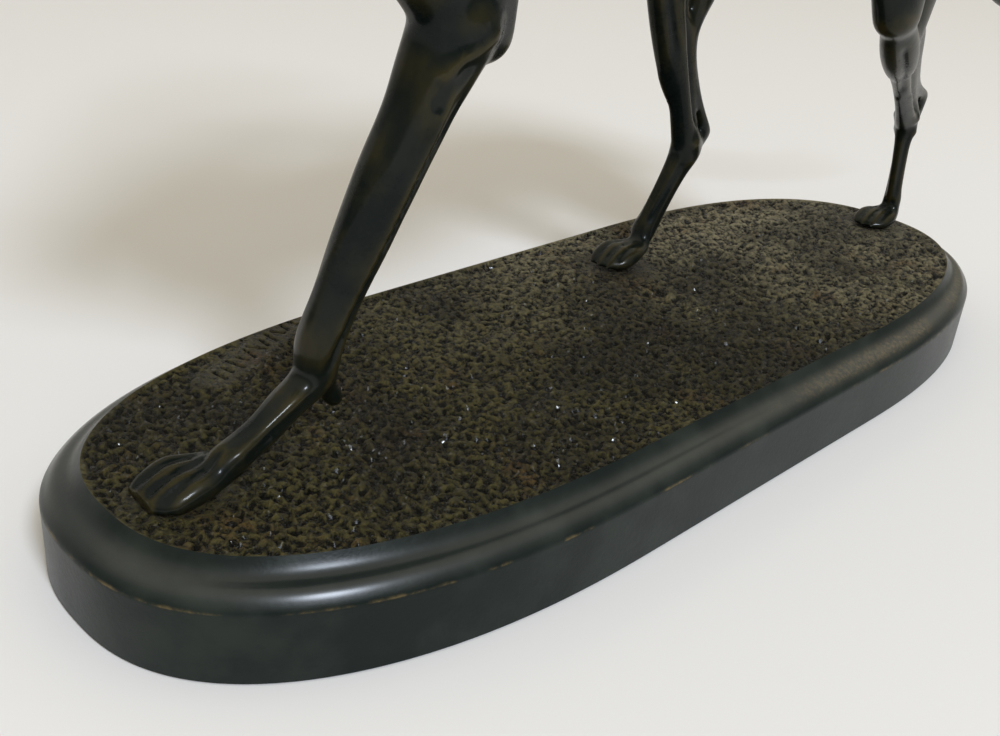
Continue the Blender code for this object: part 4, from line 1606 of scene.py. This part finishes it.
# %% Edge finish
def edge_bronze():
    """Smooth waxed band and moulding, rubbed to gold along the arris."""
    material, graph, sockets = new_finish("waxed_edge_bronze", 0.17, 0.24)
    spot = object_place(graph)
    mottle = graph.noise(spot, 0.016, 5.0, 1.0)
    fine = graph.noise(spot, 0.0013, 4.0, 4.0, 0.7)
    arris = mesh_field(graph, "arris")
    slope = mesh_field(graph, "slope")
    patchy = graph.noise(spot, 0.011, 5.0, 6.0, 0.7)
    broad = graph.noise(spot, 0.034, 3.0, 9.0)
    handled = (graph.axis(spot, "X") + (broad - 0.5) * 0.10).ease(-0.05, 0.06)
    streak = broad.ease(0.30, 0.56) * fine.ease(0.20, 0.80)
    slope_rub = slope * streak * (handled * 0.46 + 0.03)
    rubbed = (arris * patchy.ease(0.40, 0.68) * 0.7).math("MAXIMUM", slope_rub)
    patina = graph.tint(mottle.ease(0.38, 0.66), *BAND_PATINA)
    tone = graph.tint(rubbed.ease(0.05, 0.75), patina, RUBBED_GOLD)
    graph.feed(sockets["Base Color"], tone)
    graph.feed(sockets["Metallic"], rubbed * 0.8)
    graph.feed(sockets["Coat Weight"], slope * 0.94 + 0.05)
    graph.feed(sockets["Roughness"], mottle * 0.22 + fine * 0.14 + slope * 0.10 + 0.16)
    roughen(graph, sockets, mottle * 0.5 + fine * 0.5, 0.00010)
    return material


print("edge finish:", "dark, waxed, with gold at the arris")

# %% [markdown]
# ## The dusty ground
# Brown dust and old wax lie on the lumps, and the pits between them stay black. One noise
# decides where it is rusty, another where wax still glints. The dust is paler towards the
# back, where the ground is coarser.

# %% Ground finish
def ground_bronze():
    """Rough ground with brown dust on its ridges, black pits, rusty patches and glints."""
    material, graph, sockets = new_finish("rough_ground_bronze", 0.36, 0.12)
    spot = object_place(graph)
    raised = mesh_field(graph, "raised")
    broad = graph.noise(spot, 0.030, 4.0, 2.0)
    back = (towards_back(graph, spot) + (broad - 0.5) * 0.15).ease(-0.05, 0.12)
    grain = graph.noise(spot, 0.0014, 5.0, 7.0, 0.80)
    rust = graph.noise(spot, 0.014, 5.0, 11.0, 0.65)
    dust = graph.tint(rust.ease(0.54, 0.68) * 0.7, graph.tint(back, *DUST), RUST)
    height = raised * 0.55 + (grain - 0.5) * 2.0 + 0.12
    share = height.ease(0.22, 0.76) * (broad.ease(0.36, 0.60) * 0.75 + 0.45)
    tone = graph.tint(share, PIT_BLACK, dust)
    glint = graph.noise(spot, 0.0010, 2.0, 15.0).ease(0.60, 0.68)
    graph.feed(sockets["Base Color"], tone)
    graph.feed(sockets["Coat Weight"], glint + 0.06)
    graph.feed(sockets["Roughness"], height.ease(0.10, 0.80) * 0.36 + 0.20)
    roughen(graph, sockets, grain * (1.5 - back * 0.5), 0.00130)
    return material


print("ground finish:", "brown dust over black pits")

# %% [markdown]
# ## The dog's own finish
# The dog is darker and glossier than its ground. The worn field shows through as olive brown
# on tendons and ridges, and a little noise keeps its borders from being too clean.

# %% Dog finish
def dog_bronze():
    """Glossy dark skin, rubbed to olive brown on the ridges."""
    material, graph, sockets = new_finish("dark_rubbed_bronze", 0.09, 0.12)
    spot = object_place(graph)
    mottle = graph.noise(spot, 0.014, 5.0, 3.0)
    fine = graph.noise(spot, 0.0012, 3.0, 5.0)
    worn = mesh_field(graph, "worn")
    rubbed = (worn + (mottle - 0.5) * 0.5 + (fine - 0.5) * 0.2).ease(0.35, 1.10)
    tone = graph.tint(rubbed, graph.tint(mottle.ease(0.36, 0.64), *DOG_PATINA), RUBBED_OLIVE)
    graph.feed(sockets["Base Color"], tone)
    graph.feed(sockets["Metallic"], rubbed * 0.15)
    graph.feed(sockets["Coat Weight"], mottle.ease(0.40, 0.60) * 0.12 + 0.10)
    graph.feed(sockets["Roughness"], mottle * 0.22 + fine * 0.08 + 0.14)
    roughen(graph, sockets, mottle * 0.5 + fine * 0.5, 0.00007)
    return material


build_plinth(edge_bronze(), ground_bronze())
build_dog(dog_bronze())
